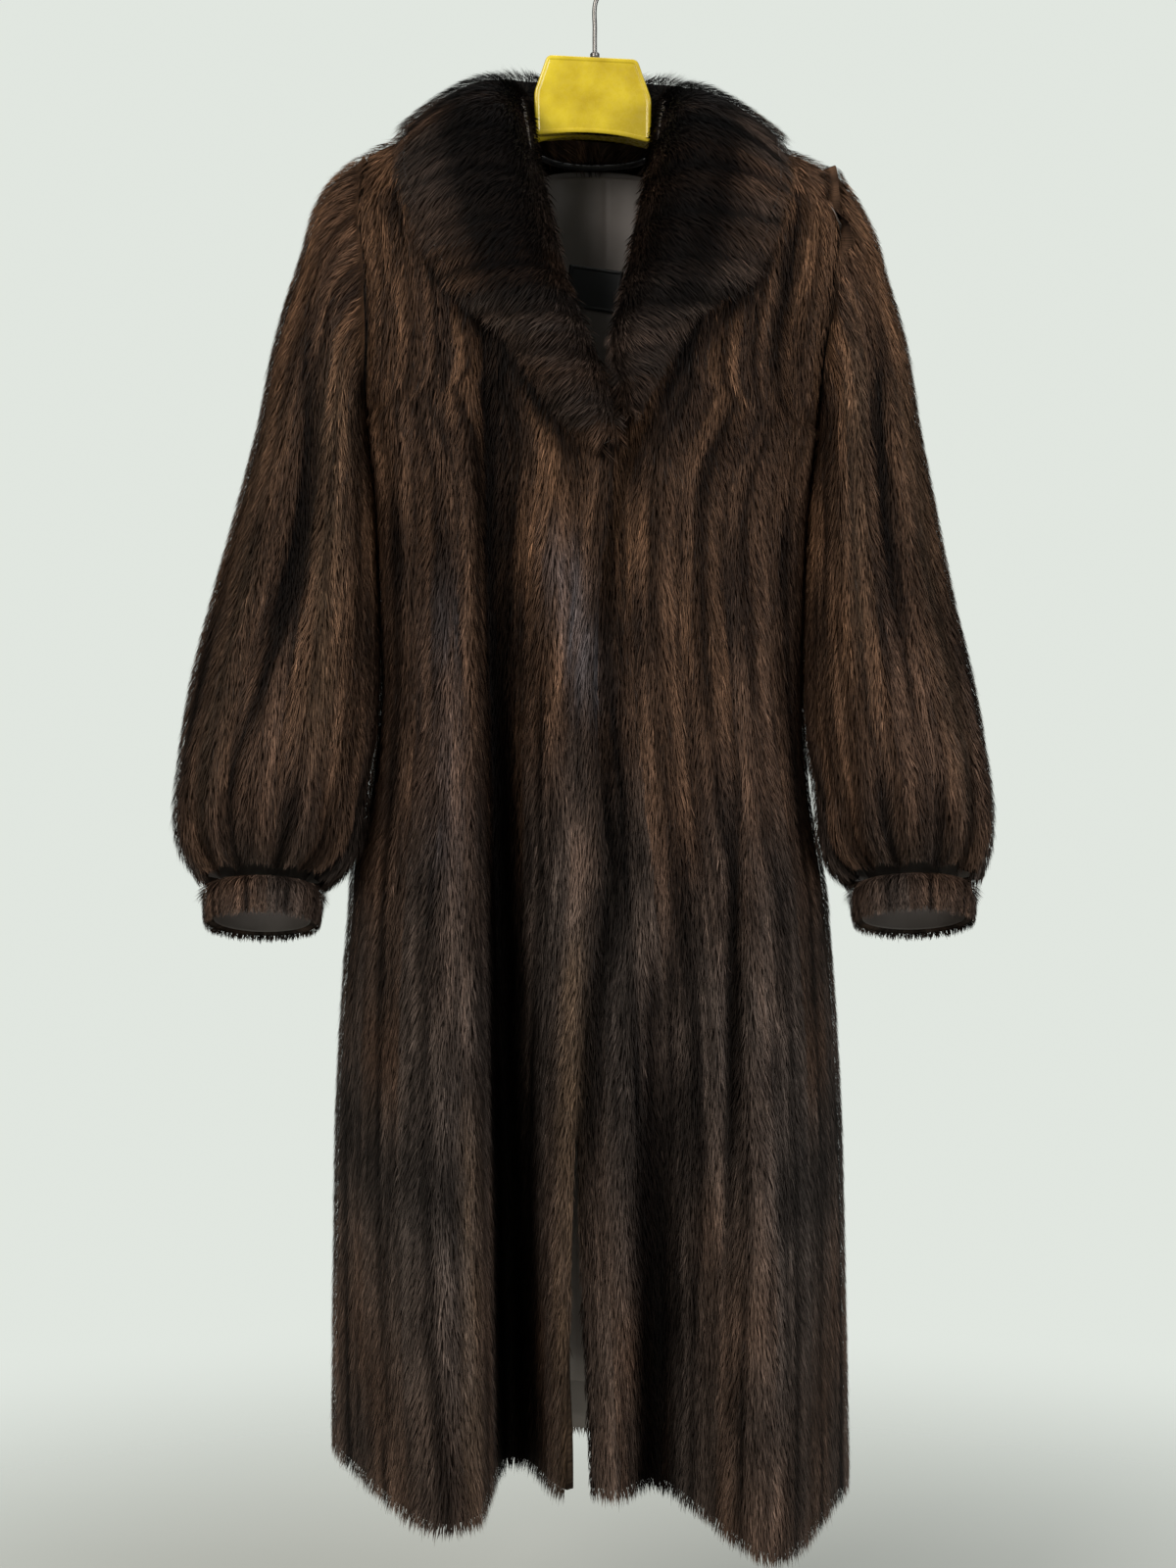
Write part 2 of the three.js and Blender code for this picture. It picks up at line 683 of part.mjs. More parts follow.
function headPoint(direction, angle, inset) {
  const rise = read(shoulderLine, 'x', 'z', direction * sleeveHead.shoulderX) - shoulderTop;
  const middle = sleeveHead.middle + sleeveHead.follow * rise;
  const y = -(sleeveHead.deep - inset) * roundedSin(angle);
  const z = middle + (sleeveHead.high - inset) * roundedCos(angle);
  return new THREE.Vector3(bodySide(direction, y, z), y, z);
}

function sleevePoint(sleeve, angle, at, raised) {
  const get = (name) => read(sleeve.table, 'at', name, at);
  const middleX = (get('outX') + get('inX')) / 2;
  const middleZ = (get('outZ') + get('inZ')) / 2;
  const middle = new THREE.Vector3(middleX, get('mid'), middleZ);
  const halfX = (get('outX') - get('inX')) / 2;
  const halfZ = (get('outZ') - get('inZ')) / 2;
  const c = roundedCos(angle);
  const s = roundedSin(angle);
  const offset = new THREE.Vector3(halfX * c, -get('deep') * s, halfZ * c);
  offset.z += Math.tan(rad(get('tilt'))) * get('deep') * s;
  const around = THREE.MathUtils.euclideanModulo(THREE.MathUtils.radToDeg(angle), 360);
  let raise = 0;
  for (const fold of sleeve.folds) {
    const place = lerp(fold.round, fold.lower, smooth(at, foldTurn.from, foldTurn.to));
    const apart = THREE.MathUtils.euclideanModulo(around - place + 180, 360) - 180;
    raise += fold.depth * foldStrength(fold, at) * foldShape(apart, fold.reach, fold.reach);
  }
  if (raised) {
    const gathered = smooth(at, gathers.from, gathers.full);
    raise += gathers.depth * gathered * Math.cos(gathers.count * angle);
  }
  const point = middle.clone().add(offset).addScaledVector(offset.clone().normalize(), raise);
  const joined = 1 - smooth(at, 0, sleeveHead.ease);
  return point.lerp(headPoint(sleeve.direction, angle, 0), joined);
}

function sleeveMesh(name, sleeve) {
  const angles = Array.from({ length: sleeveColumns }, (unused, i) => (2 * Math.PI * i) / sleeveColumns);
  const surface = (angle, at) => sleevePoint(sleeve, angle, at, false);
  const outer = sleeveRows.map((at) => angles.map((angle) => sleevePoint(sleeve, angle, at, true)));
  const inner = sleeveRows.map((at, row) => angles.map((angle) => {
    if (row === 0) return headPoint(sleeve.direction, angle, sleeveHead.wall);
    if (at === 1) return endPoint(sleeve, angle, furWall, 0);
    const point = surface(angle, at);
    const normal = surfaceNormal(surface, angle, clamp(at, 0.01, 0.99));
    const middle = surface(angle + Math.PI, at).add(point).multiplyScalar(0.5);
    const outward = normal.dot(point.clone().sub(middle)) < 0 ? -1 : 1;
    return point.addScaledVector(normal, -furWall * outward);
  }));
  return wallMesh(name, finishes.fur, outer, inner, true);
}

// A point of the ring at the sleeve's end, moved in by a wall and down along the cuff's axis
function endPoint(sleeve, angle, inset, down) {
  const get = (key) => read(sleeve.table, 'at', key, 1);
  const slant = rad(get('tilt'));
  const half = Math.abs(get('outX') - get('inX')) / 2 - inset;
  const deep = get('deep') - inset;
  const x = (get('outX') + get('inX')) / 2 + sleeve.direction * half * Math.cos(angle);
  const y = get('mid') - deep * Math.sin(angle) - down * Math.sin(slant);
  const z = get('outZ') + deep * Math.tan(slant) * Math.sin(angle) - down * Math.cos(slant);
  return new THREE.Vector3(x, y, z);
}

function cuffMesh(name, sleeve) {
  const angles = Array.from({ length: cuffColumns }, (unused, i) => (2 * Math.PI * i) / cuffColumns);
  const shares = [0, 0.12, 0.5, 0.88, 1];
  const ring = (inset, share) => {
    const rounded = cuffRounding * (2 * share - 1) ** 6;
    const moved = cuffEase + inset + (inset > 0 ? -rounded : rounded);
    const down = seamGap + share * cuffHeight;
    return angles.map((angle) => endPoint(sleeve, angle, moved, down));
  };
  const outer = shares.map((share) => ring(0, share));
  const inner = shares.map((share) => ring(furWall, share));
  return wallMesh(name, finishes.fur, outer, inner, true);
}

// Collar. Each section runs from the inner edge over the roll to the outer edge and back underneath.

// Moves a point straight out from the body's shoulder, at its own place across, to a given lift
function seatOnBody(point, lift) {
  const start = read(shoulderLine, 'x', 'z', point.x) - shoulderRise;
  if (point.z < start) {
    const outward = point.y < 0 ? -lift : lift;
    const y = bodyDepth(point.y < 0 ? 'front' : 'back', point.x, point.z) + outward;
    return new THREE.Vector3(point.x, y, point.z);
  }
  const rise = Math.abs(bodyDepth('back', point.x, start)) / shoulderDepth;
  const turn = Math.atan2((point.z - start) / shoulderRise, Math.abs(point.y) / (shoulderDepth * rise));
  const y = (shoulderDepth * rise + lift) * Math.cos(turn) * Math.sign(point.y || 1);
  return new THREE.Vector3(point.x, y, start + (shoulderRise + lift) * Math.sin(turn));
}

// How far forward or back the body's surface lies at a place across and a height
function bodyDepth(face, x, z) {
  const section = sectionAt(face, levelAt(x, z));
  const half = x < 0 ? section.left : section.right;
  const rise = (1 - clamp(Math.abs(x) / half, 0, sideLimit) ** section.square) ** (1 / section.square);
  return section.side + (section.reach - section.side) * rise;
}

function collarKeys(at) {
  const last = collarStations.length - 1;
  const i = Math.min(Math.floor(at * last), last - 1);
  const t = at * last - i;
  const key = (name) => {
    const take = (j) => new THREE.Vector3(...collarStations[clamp(j, 0, last)][name]);
    const [a, b, c, d] = [take(i - 1), take(i), take(i + 1), take(i + 2)];
    const blend = (p, q, r, w) => 0.5 * (2 * q + (r - p) * t + (2 * p - 5 * q + 4 * r - w) * t * t
      + (3 * q - p - 3 * r + w) * t ** 3);
    const [x, y, z] = ['x', 'y', 'z'].map((axis) => blend(a[axis], b[axis], c[axis], d[axis]));
    return new THREE.Vector3(x, y, z);
  };
  return { seam: key('seam'), roll: key('roll'), edge: key('edge') };
}

function collarSection(at) {
  const keys = collarKeys(at);
  const edge = seatOnBody(keys.edge, collarWall);
  const k = rollShare;
  const pull = keys.roll.clone()
    .addScaledVector(keys.seam, -((1 - k) ** 2))
    .addScaledVector(edge, -(k ** 2))
    .multiplyScalar(1 / (2 * k * (1 - k)));
  const section = [];
  for (let i = 0; i <= collarAcross; i += 1) {
    const c = i / collarAcross;
    section.push(keys.seam.clone().multiplyScalar((1 - c) ** 2)
      .addScaledVector(pull, 2 * c * (1 - c)).addScaledVector(edge, c * c));
  }
  for (let i = 0; i < collarUnder; i += 1) {
    const share = lerp(1, underShare, i / (collarUnder - 1));
    const above = keys.seam.clone().lerp(edge, share);
    section.push(seatOnBody(above, collarLift));
  }
  return section;
}

function collarMesh() {
  const places = Array.from({ length: collarSections + 1 }, (unused, i) => i / collarSections);
  return loftMesh('collar', finishes.fur, places.map(collarSection));
}

// A round cord or wire along a smooth path
function tubeAlong(curve, radius, sides, steps) {
  const shape = new THREE.Shape(Array.from({ length: sides }, (unused, i) => {
    const angle = (2 * Math.PI * i) / sides;
    return new THREE.Vector2(radius * Math.cos(angle), radius * Math.sin(angle));
  }));
  return new THREE.ExtrudeGeometry(shape, { steps, bevelEnabled: false, extrudePath: curve });
}

function pipingMesh() {
  const curve = new THREE.CatmullRomCurve3(pipingPath.map((point) => new THREE.Vector3(...point)));
  const geometry = tubeAlong(curve, pipingRadius, 8, 16);
  const mesh = new THREE.Mesh(geometry, new THREE.MeshStandardMaterial(finishes.trim));
  mesh.name = 'neck_piping';
  return mesh;
}

// The label is made from the lining's inner surface, moved in
function labelMesh() {
  const grid = (depth) => [0, 1].map((row) => Array.from({ length: 5 }, (unused, i) => {
    const along = (i / 4 - 0.5) * label.width;
    const up = (row - 0.5) * label.height;
    const turn = rad(label.tilt);
    const x = label.x + along * Math.cos(turn) + up * Math.sin(turn);
    const z = label.z - along * Math.sin(turn) + up * Math.cos(turn);
    return new THREE.Vector3(x, bodyDepth('back', x, z) - labelSeat - depth, z);
  }));
  return wallMesh('label', finishes.trim, grid(0), grid(labelWall));
}

// Joins meshes into one solid
function toSolid(geometry) {
  const plain = geometry.clone();
  plain.deleteAttribute('normal');
  plain.deleteAttribute('uv');
  const merged = mergeVertices(plain, 1e-3);
  const index = new Uint32Array(merged.index.array);
  const vertProperties = merged.attributes.position.array;
  const mesh = new wasm.Mesh({ numProp: 3, vertProperties, triVerts: index });
  return new wasm.Manifold(mesh);
}

function fromSolid(name, finish, solid) {
  const mesh = solid.getMesh();
  const geometry = new THREE.BufferGeometry();
  geometry.setAttribute('position', new THREE.BufferAttribute(mesh.vertProperties, 3));
  geometry.setIndex(new THREE.BufferAttribute(mesh.triVerts, 1));
  const result = new THREE.Mesh(geometry, new THREE.MeshStandardMaterial(finish));
  result.name = name;
  return result;
}

function plateGeometry() {
  const shape = new THREE.Shape(plateOutline.map((point) => new THREE.Vector2(point.x, point.z)));
  const geometry = new THREE.ExtrudeGeometry(shape, {
    depth: plateDepth - 2 * plateBevel,
    bevelThickness: plateBevel,
    bevelSize: plateBevel,
    bevelOffset: -plateBevel,
    bevelSegments: 2,
  });
  geometry.translate(0, 0, plateBevel - plateDepth / 2);
  return geometry.rotateX(Math.PI / 2);
}

// The arms lie just under the shoulders, from one end through the plate to the other
function armsMesh() {
  const mirrored = [...armSections].reverse().map((row) => ({ ...row, x: -row.x }));
  const sections = [...mirrored, ...armSections].map((row) => {
    const line = (x) => read(shoulderLine, 'x', 'z', x);
    const slope = (line(row.x + 5) - line(row.x - 5)) / 10;
    const top = line(row.x) - furWall * Math.hypot(1, slope) - armGap - row.drop;
    return Array.from({ length: armSides }, (unused, i) => {
      const angle = (2 * Math.PI * i) / armSides;
      const y = (row.deep / 2) * Math.sin(angle);
      return new THREE.Vector3(row.x, y, top - row.high / 2 + (row.high / 2) * Math.cos(angle));
    });
  });
  return loftMesh('arms', finishes.hanger, sections);
}

function hangerMesh() {
  const solid = toSolid(plateGeometry()).add(toSolid(armsMesh().geometry));
  return fromSolid('hanger', finishes.hanger, solid);
}

// The stem rises from the plate and bends to one side into the hook, open at the other side
function hookMesh() {
  const middle = wireRadius - hookRadius;
  const bottom = plateTop + seamGap;
  const points = [
    [hookStemX, 0, bottom],
    [hookStemX, 0, bottom + 26],
    [hookStemX + 1, 0, middle - hookRadius - 9],
  ];
  for (const angle of hookBend) {
    points.push([hookRadius * Math.cos(rad(angle)), 0, middle + hookRadius * Math.sin(rad(angle))]);
  }
  const curve = new THREE.CatmullRomCurve3(points.map((point) => new THREE.Vector3(...point)));
  const ferrule = new THREE.CylinderGeometry(ferruleRadius * 0.8, ferruleRadius, ferruleHeight, 20);
  ferrule.rotateX(Math.PI / 2).translate(hookStemX, 0, bottom + ferruleHeight / 2);
  const wire = toSolid(tubeAlong(curve, wireRadius, 8, 40));
  return fromSolid('hook', finishes.wire, wire.add(toSolid(ferrule)));
}

const left = { table: leftSleeve, folds: leftSleeveFolds, direction: -1 };
const right = { table: rightSleeve, folds: rightSleeveFolds, direction: 1 };

const model = new THREE.Group();
model.add(backPanel());
model.add(frontPanel('front_left', 'left'));
model.add(frontPanel('front_right', 'right'));
model.add(sleeveMesh('sleeve_left', left));
model.add(sleeveMesh('sleeve_right', right));
model.add(cuffMesh('cuff_left', left));
model.add(cuffMesh('cuff_right', right));
model.add(collarMesh());
model.add(backLining());
model.add(pipingMesh());
model.add(labelMesh());
model.add(hangerMesh());
model.add(hookMesh());

export default model;
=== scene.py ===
import math
import bpy
import numpy as np
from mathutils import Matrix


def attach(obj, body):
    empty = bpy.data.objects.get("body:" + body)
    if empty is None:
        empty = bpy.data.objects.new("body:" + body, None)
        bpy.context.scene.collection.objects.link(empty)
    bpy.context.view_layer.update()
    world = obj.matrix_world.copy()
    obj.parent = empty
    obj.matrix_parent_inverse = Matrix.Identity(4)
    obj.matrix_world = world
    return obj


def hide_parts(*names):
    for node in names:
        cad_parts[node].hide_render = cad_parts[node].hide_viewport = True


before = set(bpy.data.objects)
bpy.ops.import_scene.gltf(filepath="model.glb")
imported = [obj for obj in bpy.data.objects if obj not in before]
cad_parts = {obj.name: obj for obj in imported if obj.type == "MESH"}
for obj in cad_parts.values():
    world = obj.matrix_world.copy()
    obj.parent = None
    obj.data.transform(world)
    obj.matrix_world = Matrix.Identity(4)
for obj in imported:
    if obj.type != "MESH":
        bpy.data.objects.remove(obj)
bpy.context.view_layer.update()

# A full-length fur coat with a shawl collar and bishop sleeves, hung on a moulded hanger.
# Sums are in millimetres, in the model's frame: the front faces -Y and the top of the hook is the origin.
# Left and right are the viewer's, facing the front. Meshes are turned to metres when they are made.

# The outline of the body at each height: half widths, side seam, front and back depth, squareness
bodyLevels = {
    "z": [-1345, -1180, -1000, -830, -770, -700, -640, -520, -430, -375, -332, -277, -256, -200],
    "left": [238, 236, 231, 216, 199, 188, 186, 188, 195, 200, 204, 210, 213, 210],
    "right": [232, 228, 222, 208, 193, 184, 183, 184, 191, 201, 212, 220, 220, 212],
    "side": [75, 68, 55, 40, 35, 28, 22, 12, 4, 1, 0, 0, 0, 0],
    "front": [-64, -76, -86, -92, -92, -92, -92, -92, -92, -89, -85, -80, -80, -80],
    "back": [139, 132, 124, 112, 108, 104, 102, 97, 92, 88, 84, 80, 80, 80],
    "square": [2.5, 2.5, 2.5, 2.6, 2.8, 3, 3.2, 4, 5, 5.6, 6, 6, 6, 6],
}
body = {
    "hemLevel": -1345,
    "shoulderStart": -277,
    "shoulderTop": -200,
    "shoulderRise": 80,
    "shoulderLine": {-240: -206, -208: -186, -184: -174, -163: -166, -70: -133, 0: -126, 70: -135,
                     165: -177, 199: -191, 240: -215},
    "frontHem": {-240: -1330, -122: -1351, -20: -1345, 60: -1346, 148: -1378, 232: -1363},
    "backHem": {-240: -1330, -100: -1340, 100: -1346, 232: -1363},
    "leftEdge": {-130: -80, -187: -78, -310: -42, -366: -14, -405: 4, -445: 19, -509: 13, -578: 6,
                 -707: 5, -798: 11, -920: -4, -1032: -14, -1192: -19, -1345: -25},
    "rightEdge": {-130: 80, -187: 78, -310: 44, -366: 20, -400: 2, -450: -30, -520: -34, -900: -19,
                  -1160: -13, -1345: -6},
    "seamLeft": 20,
    "seamRight": 27,
    "neckAngle": 20.5,
    "wall": 12,
    "layerGap": 5,
    "underlapEase": 46,
}
# Folds: place at the hem and at the top, reach to each side, depth (out is positive), start, fullest, end
frontFolds = [
    (-130, -128, 104, 92, 92, -420, -1345, 0),
    (-79, -93, 15, 56, -150, -300, -1345, 0),
    (-150, -150, 22, 26, -7, -300, -560, -1100),
    (16, 16, 30, 24, 8, -1000, -1345, 0),
    (54, 44, 30, 30, -34, -860, -1345, 0),
    (150, 140, 84, 84, 92, -560, -1345, 0),
    (112, 122, 16, 16, -12, -640, -900, -1345),
    (160, 170, 20, 16, -9, -240, -340, -560),
]
backFolds = [
    (-150, -120, 60, 56, 26, -600, -1345, 0),
    (-84, -70, 34, 30, -38, -520, -1345, 0),
    (-20, -16, 46, 50, 14, -700, -1345, 0),
    (62, 52, 34, 36, -32, -640, -1345, 0),
    (134, 112, 52, 60, 30, -560, -1345, 0),
]
leftSleeve = {
    "at": [0, 0.08, 0.18, 0.3, 0.42, 0.54, 0.66, 0.78, 0.88, 0.95, 1],
    "outX": [-212, -237, -258, -279, -294, -313, -332, -350, -360, -358, -341],
    "outZ": [-190, -212, -277, -348, -425, -501, -575, -651, -728, -786, -824],
    "inX": [-197, -197, -195, -190.8, -189.2, -187.8, -187.2, -189.5, -196, -207, -231],
    "inZ": [-432, -440, -456, -484, -522, -570, -626, -690, -748, -795, -824],
    "mid": [0, -3, -7, -12, -16, -20, -26, -32, -37, -38, -38],
    "deep": [71, 71, 69, 68, 68, 70, 74, 78, 79, 70, 46],
    "tilt": [0, 0, 0, 0, 0, 0, 2, 5, 9, 14, 20],
    "direction": -1,
    # Folds: place round the ring in degrees (90 is the front) in the upper and the lower half, reach,
    # depth, start, fullest, end
    "folds": [(92, 68, 20, -12, 0.06, 0.45, 1), (126, 104, 24, 5, 0.12, 0.5, 0.98),
              (36, 30, 20, -7, 0.35, 0.75, 1), (262, 262, 26, -10, 0.1, 0.6, 1),
              (306, 306, 24, 5, 0.2, 0.7, 0.98)],
}
rightSleeve = {
    "at": [0, 0.08, 0.18, 0.3, 0.42, 0.54, 0.66, 0.78, 0.88, 0.95, 1],
    "outX": [214, 240, 259, 274, 285, 299, 314, 331, 341, 341, 333],
    "outZ": [-204, -238, -299, -355, -425, -501, -580, -658, -730, -784, -822],
    "inX": [193, 193.5, 190.5, 187, 185.3, 184.3, 184.3, 185.5, 192, 199, 218],
    "inZ": [-438, -447, -464, -492, -528, -576, -630, -692, -748, -795, -822],
    "mid": [0, -3, -7, -12, -16, -20, -26, -32, -37, -38, -38],
    "deep": [71, 71, 69, 68, 68, 70, 74, 78, 79, 70, 46],
    "tilt": [0, 0, 0, 0, 0, 0, 2, 5, 9, 14, 20],
    "direction": 1,
    "folds": [(80, 76, 20, -12, 0.06, 0.4, 0.95), (116, 112, 20, 6, 0.1, 0.5, 0.98),
              (44, 40, 20, -8, 0.3, 0.7, 1), (278, 278, 26, -9, 0.1, 0.6, 1)],
}
sleeveHead = {"middle": -316, "high": 121, "deep": 68, "ease": 0.12, "gap": 2.6, "square": 2.3}
gathers = {"count": 12, "depth": 6, "from": 0.8, "full": 0.96}
armhole = {"share": 0.8, "middle": -316, "low": -432, "square": 2.4}
cuff = {"height": 39, "ease": 1.5, "gap": 0.7}
# Collar stations from the left tip round the back: inner edge, roll and outer edge
collarStations = np.array([
    [[20, -98, -446], [14, -113, -448], [5, -100, -453]],
    [[17, -97, -420], [0, -121, -420], [-29, -100, -418]],
    [[3, -90, -372], [-18, -122, -370], [-68, -98, -358]],
    [[-20, -80, -312], [-48, -122, -306], [-122, -96, -306]],
    [[-37, -62, -240], [-68, -114, -228], [-157, -88, -232]],
    [[-50, -36, -180], [-78, -84, -150], [-163, -64, -190]],
    [[-56, 10, -139], [-76, 8, -110], [-153, 20, -163]],
    [[-41, 46, -172], [-50, 62, -98], [-92, 84, -178]],
    [[0, 60, -177], [0, 76, -94], [0, 92, -188]],
    [[41, 46, -174], [50, 62, -100], [92, 84, -180]],
    [[55.2, 10, -142], [71, 8, -117], [151, 20, -169]],
    [[49, -36, -186], [74, -84, -156], [159, -64, -196]],
    [[37, -62, -245], [66, -114, -234], [157, -88, -236]],
    [[22, -80, -318], [48, -122, -306], [132, -96, -300]],
    [[12, -90, -366], [28, -122, -360], [80, -98, -340]],
    [[22, -97, -404], [30, -119, -402], [46, -100, -398]],
    [[25, -99, -424], [28, -112, -425], [33, -101, -423]],
], float)
collar = {"wall": 10, "lift": 4, "rollShare": 0.4}


# Small sums on whole arrays

def smoothStep(value, low, high):
    # t * t * (3 - 2 t), with t = (value - low) / (high - low) held between 0 and 1
    t = np.clip((value - low) / (high - low), 0, 1)
    return t * t * (3 - 2 * t)


def mix(a, b, share):
    # a + (b - a) * share
    return a + (b - a) * share


def unit(vectors):
    # each vector over its own length
    return vectors / np.maximum(np.linalg.norm(vectors, axis=-1, keepdims=True), 1e-9)


def curveThrough(keys, values, at):
    # Cubic Hermite curve: a row's slope is (value after - value before) / (key after - key before)
    order = np.argsort(keys)
    k = np.asarray(keys, float)[order]
    v = np.asarray(values, float)[order]
    before = np.maximum(np.arange(len(k)) - 1, 0)
    after = np.minimum(np.arange(len(k)) + 1, len(k) - 1)
    slope = (v[after] - v[before]) / (k[after] - k[before])
    at = np.clip(at, k[0], k[-1])
    i = np.clip(np.searchsorted(k, at) - 1, 0, len(k) - 2)
    span = k[i + 1] - k[i]
    t = (at - k[i]) / span
    bend = t * t * (3 - 2 * t)
    return (mix(v[i], v[i + 1], bend) + t * (1 - t) ** 2 * span * slope[i]
            + t * t * (t - 1) * span * slope[i + 1])


def line(table, at):
    # A curve through a table of key: value
    return curveThrough(list(table), list(table.values()), at)


def levelValue(name, level):
    # A column of bodyLevels at a height
    return curveThrough(bodyLevels["z"], bodyLevels[name], level)


# The body's surface: the angle runs from the right side seam (0) over the middle to the left one (pi),
# and the station v from the hem (0) to the start of the shoulder (1) and over its top (2)

def levelOf(v):
    # Straight up to the shoulder, then round it: start + (top - start) * sin(90 (v - 1))
    rounded = np.sin(np.radians(90 * np.clip(v - 1, 0, 1)))
    low = mix(body["hemLevel"], body["shoulderStart"], np.minimum(v, 1))
    return np.where(v <= 1, low, mix(body["shoulderStart"], body["shoulderTop"], rounded))


def foldDepth(folds, x, z, v, rise):
    # Sum of depth * strength(z) * cos(90 * distance / reach) squared
    total = np.zeros_like(x)
    for hem, top, left, right, depth, start, full, end in folds:
        offset = x - mix(hem, top, np.clip(v, 0, 1))
        share = np.abs(offset) / np.where(offset < 0, left, right)
        shape = np.where(share < 1, np.cos(np.minimum(share, 1) * np.pi / 2) ** 2, 0)
        strength = np.clip((z - start) / (full - start), 0, 1)
        if end:
            strength = strength * (1 - smoothStep((z - full) / (end - full), 0, 1))
        total += depth * strength * shape
    return total * np.clip(rise * 1.6, 0, 1)


def bodyPoint(face, angle, v, under=False):
    # Superellipse section: x = half * cos * r, y = side + (reach - side) * sin * r,
    # r = (|cos|^n + |sin|^n)^(-1/n), turned over the shoulder above v = 1
    level = levelOf(v)
    n = levelValue("square", level)
    c, s = np.cos(angle), np.sin(angle)
    r = (np.abs(c) ** n + np.abs(s) ** n) ** (-1 / n)
    x = np.where(c < 0, levelValue("left", level), levelValue("right", level)) * c * r
    rise = s * r
    start = line(body["shoulderLine"], x) - body["shoulderRise"]
    turn = np.radians(90 * np.maximum(v - 1, 0))
    hem = line(body[face + "Hem"], x)
    z = np.where(v <= 1, mix(hem, start, np.minimum(v, 1)), start + body["shoulderRise"] * np.sin(turn))
    side = levelValue("side", level)
    y = side + (levelValue(face, level) - side) * rise * np.cos(turn)
    out = -1 if face == "front" else 1
    folds = frontFolds if face == "front" else backFolds
    y = y + np.where(v <= 1, out * foldDepth(folds, x, z, v, rise), 0)
    if under:
        edge = line(body["leftEdge"], z)
        cover = smoothStep(-z, 330, 400) * (1 - smoothStep(x, edge + 2, edge + body["underlapEase"]))
        y = y + (body["wall"] + body["layerGap"]) * cover
    return np.stack([x, y, z], -1)


def armholeShare(level):
    # Superellipse: share * (1 - down^n)^(1/n), down = depth below the middle over the armhole's half height
    down = np.clip((armhole["middle"] - level) / (armhole["middle"] - armhole["low"]), 0, 1)
    n = armhole["square"]
    return armhole["share"] * (1 - down ** n) ** (1 / n)


def sideAngle(v):
    # The angle whose sine share is the armhole's: where a panel ends at the side
    level = levelOf(v)
    n = levelValue("square", level)
    rise = armholeShare(level)
    return np.arctan2(rise, (1 - rise ** n) ** (1 / n))


def angleOfShare(share, n):
    # The angle of a place across: atan((1 - |share|^n)^(1/n) / share)
    return np.arctan2((1 - np.minimum(np.abs(share), 1) ** n) ** (1 / n), share)


def evenAngles(face, start, end, v, count, under):
    # Angles at equal steps of arc length along each row, read back from the running length
    fine = start[:, None] + (end - start)[:, None] * np.linspace(0, 1, 500)
    points = bodyPoint(face, fine, np.repeat(v[:, None], 500, 1), under)
    run = np.cumsum(np.linalg.norm(np.diff(points, axis=1), axis=2), axis=1)
    run = np.concatenate([np.zeros((len(v), 1)), run], 1)
    return np.array([np.interp(np.linspace(0, r[-1], count), r, a) for r, a in zip(run, fine)])


def frontGrid(side, rows, columns, inset):
    # Rows of one front from its side seam or armhole to its free edge, less an inset at hem and edge
    under = side == "right"
    top = 1 + (body["seamLeft"] if side == "left" else body["seamRight"]) / 90
    low = inset * 1.5 / (body["shoulderStart"] - body["hemLevel"])
    v = np.concatenate([np.linspace(low, 1, rows - 6), np.linspace(1, top, 7)[1:]])
    height = mix(body["hemLevel"], -206, np.minimum(v, 1))
    height = height + np.where(v > 1, 80 * np.sin(np.radians(90 * np.maximum(v - 1, 0))), 0)
    edge = line(body[side + "Edge"], height) + (-inset if side == "left" else inset)
    level = levelOf(v)
    edgeAngle = angleOfShare(edge / levelValue(side, level), levelValue("square", level))
    start = sideAngle(v) if side == "right" else np.pi - sideAngle(v)
    angles = evenAngles("front", start, edgeAngle, v, columns, under)
    return bodyPoint("front", angles, np.repeat(v[:, None], columns, 1), under)


def backGrid(rows, columns, inset, topOf):
    # Rows of the back from side to side, going on over the shoulders as far as topOf(x)
    low = inset * 1.5 / (body["shoulderStart"] - body["hemLevel"])
    shoulder = rows // 5
    v = np.linspace(low, 1, rows - shoulder)
    start = sideAngle(v)
    angles = evenAngles("back", start, np.pi - start, v, columns, False)
    below = bodyPoint("back", angles, np.repeat(v[:, None], columns, 1))
    share = np.linspace(0, 1, shoulder + 1)[1:, None]
    over = mix(1, topOf(below[-1, :, 0])[None, :], share)
    above = bodyPoint("back", np.repeat(angles[-1:], shoulder, 0), over)
    return np.concatenate([below, above])


def backTop(x):
    # The neck edge in the middle and the forward shoulder seam at the sides, as a station
    seam = 1 + (180 - np.where(x < 0, body["seamLeft"], body["seamRight"])) / 90
    return mix(1 + body["neckAngle"] / 90, seam, smoothStep(np.abs(x), 52, 90))


def liningTop(x):
    # A little below the neck edge in the middle, and at the start of the shoulder at the sides
    return mix(1 + (body["neckAngle"] - 4) / 90, 0.99, smoothStep(np.abs(x), 40, 92))


# The sleeves: a ring starts at the outer line (0) and passes the front (90) and the inner line (180)

def ringShape(angle):
    # cos and sin of a superellipse: sign * |value|^(2/n)
    power = 2 / sleeveHead["square"]
    c, s = np.cos(angle), np.sin(angle)
    return np.sign(c) * np.abs(c) ** power, np.sign(s) * np.abs(s) ** power


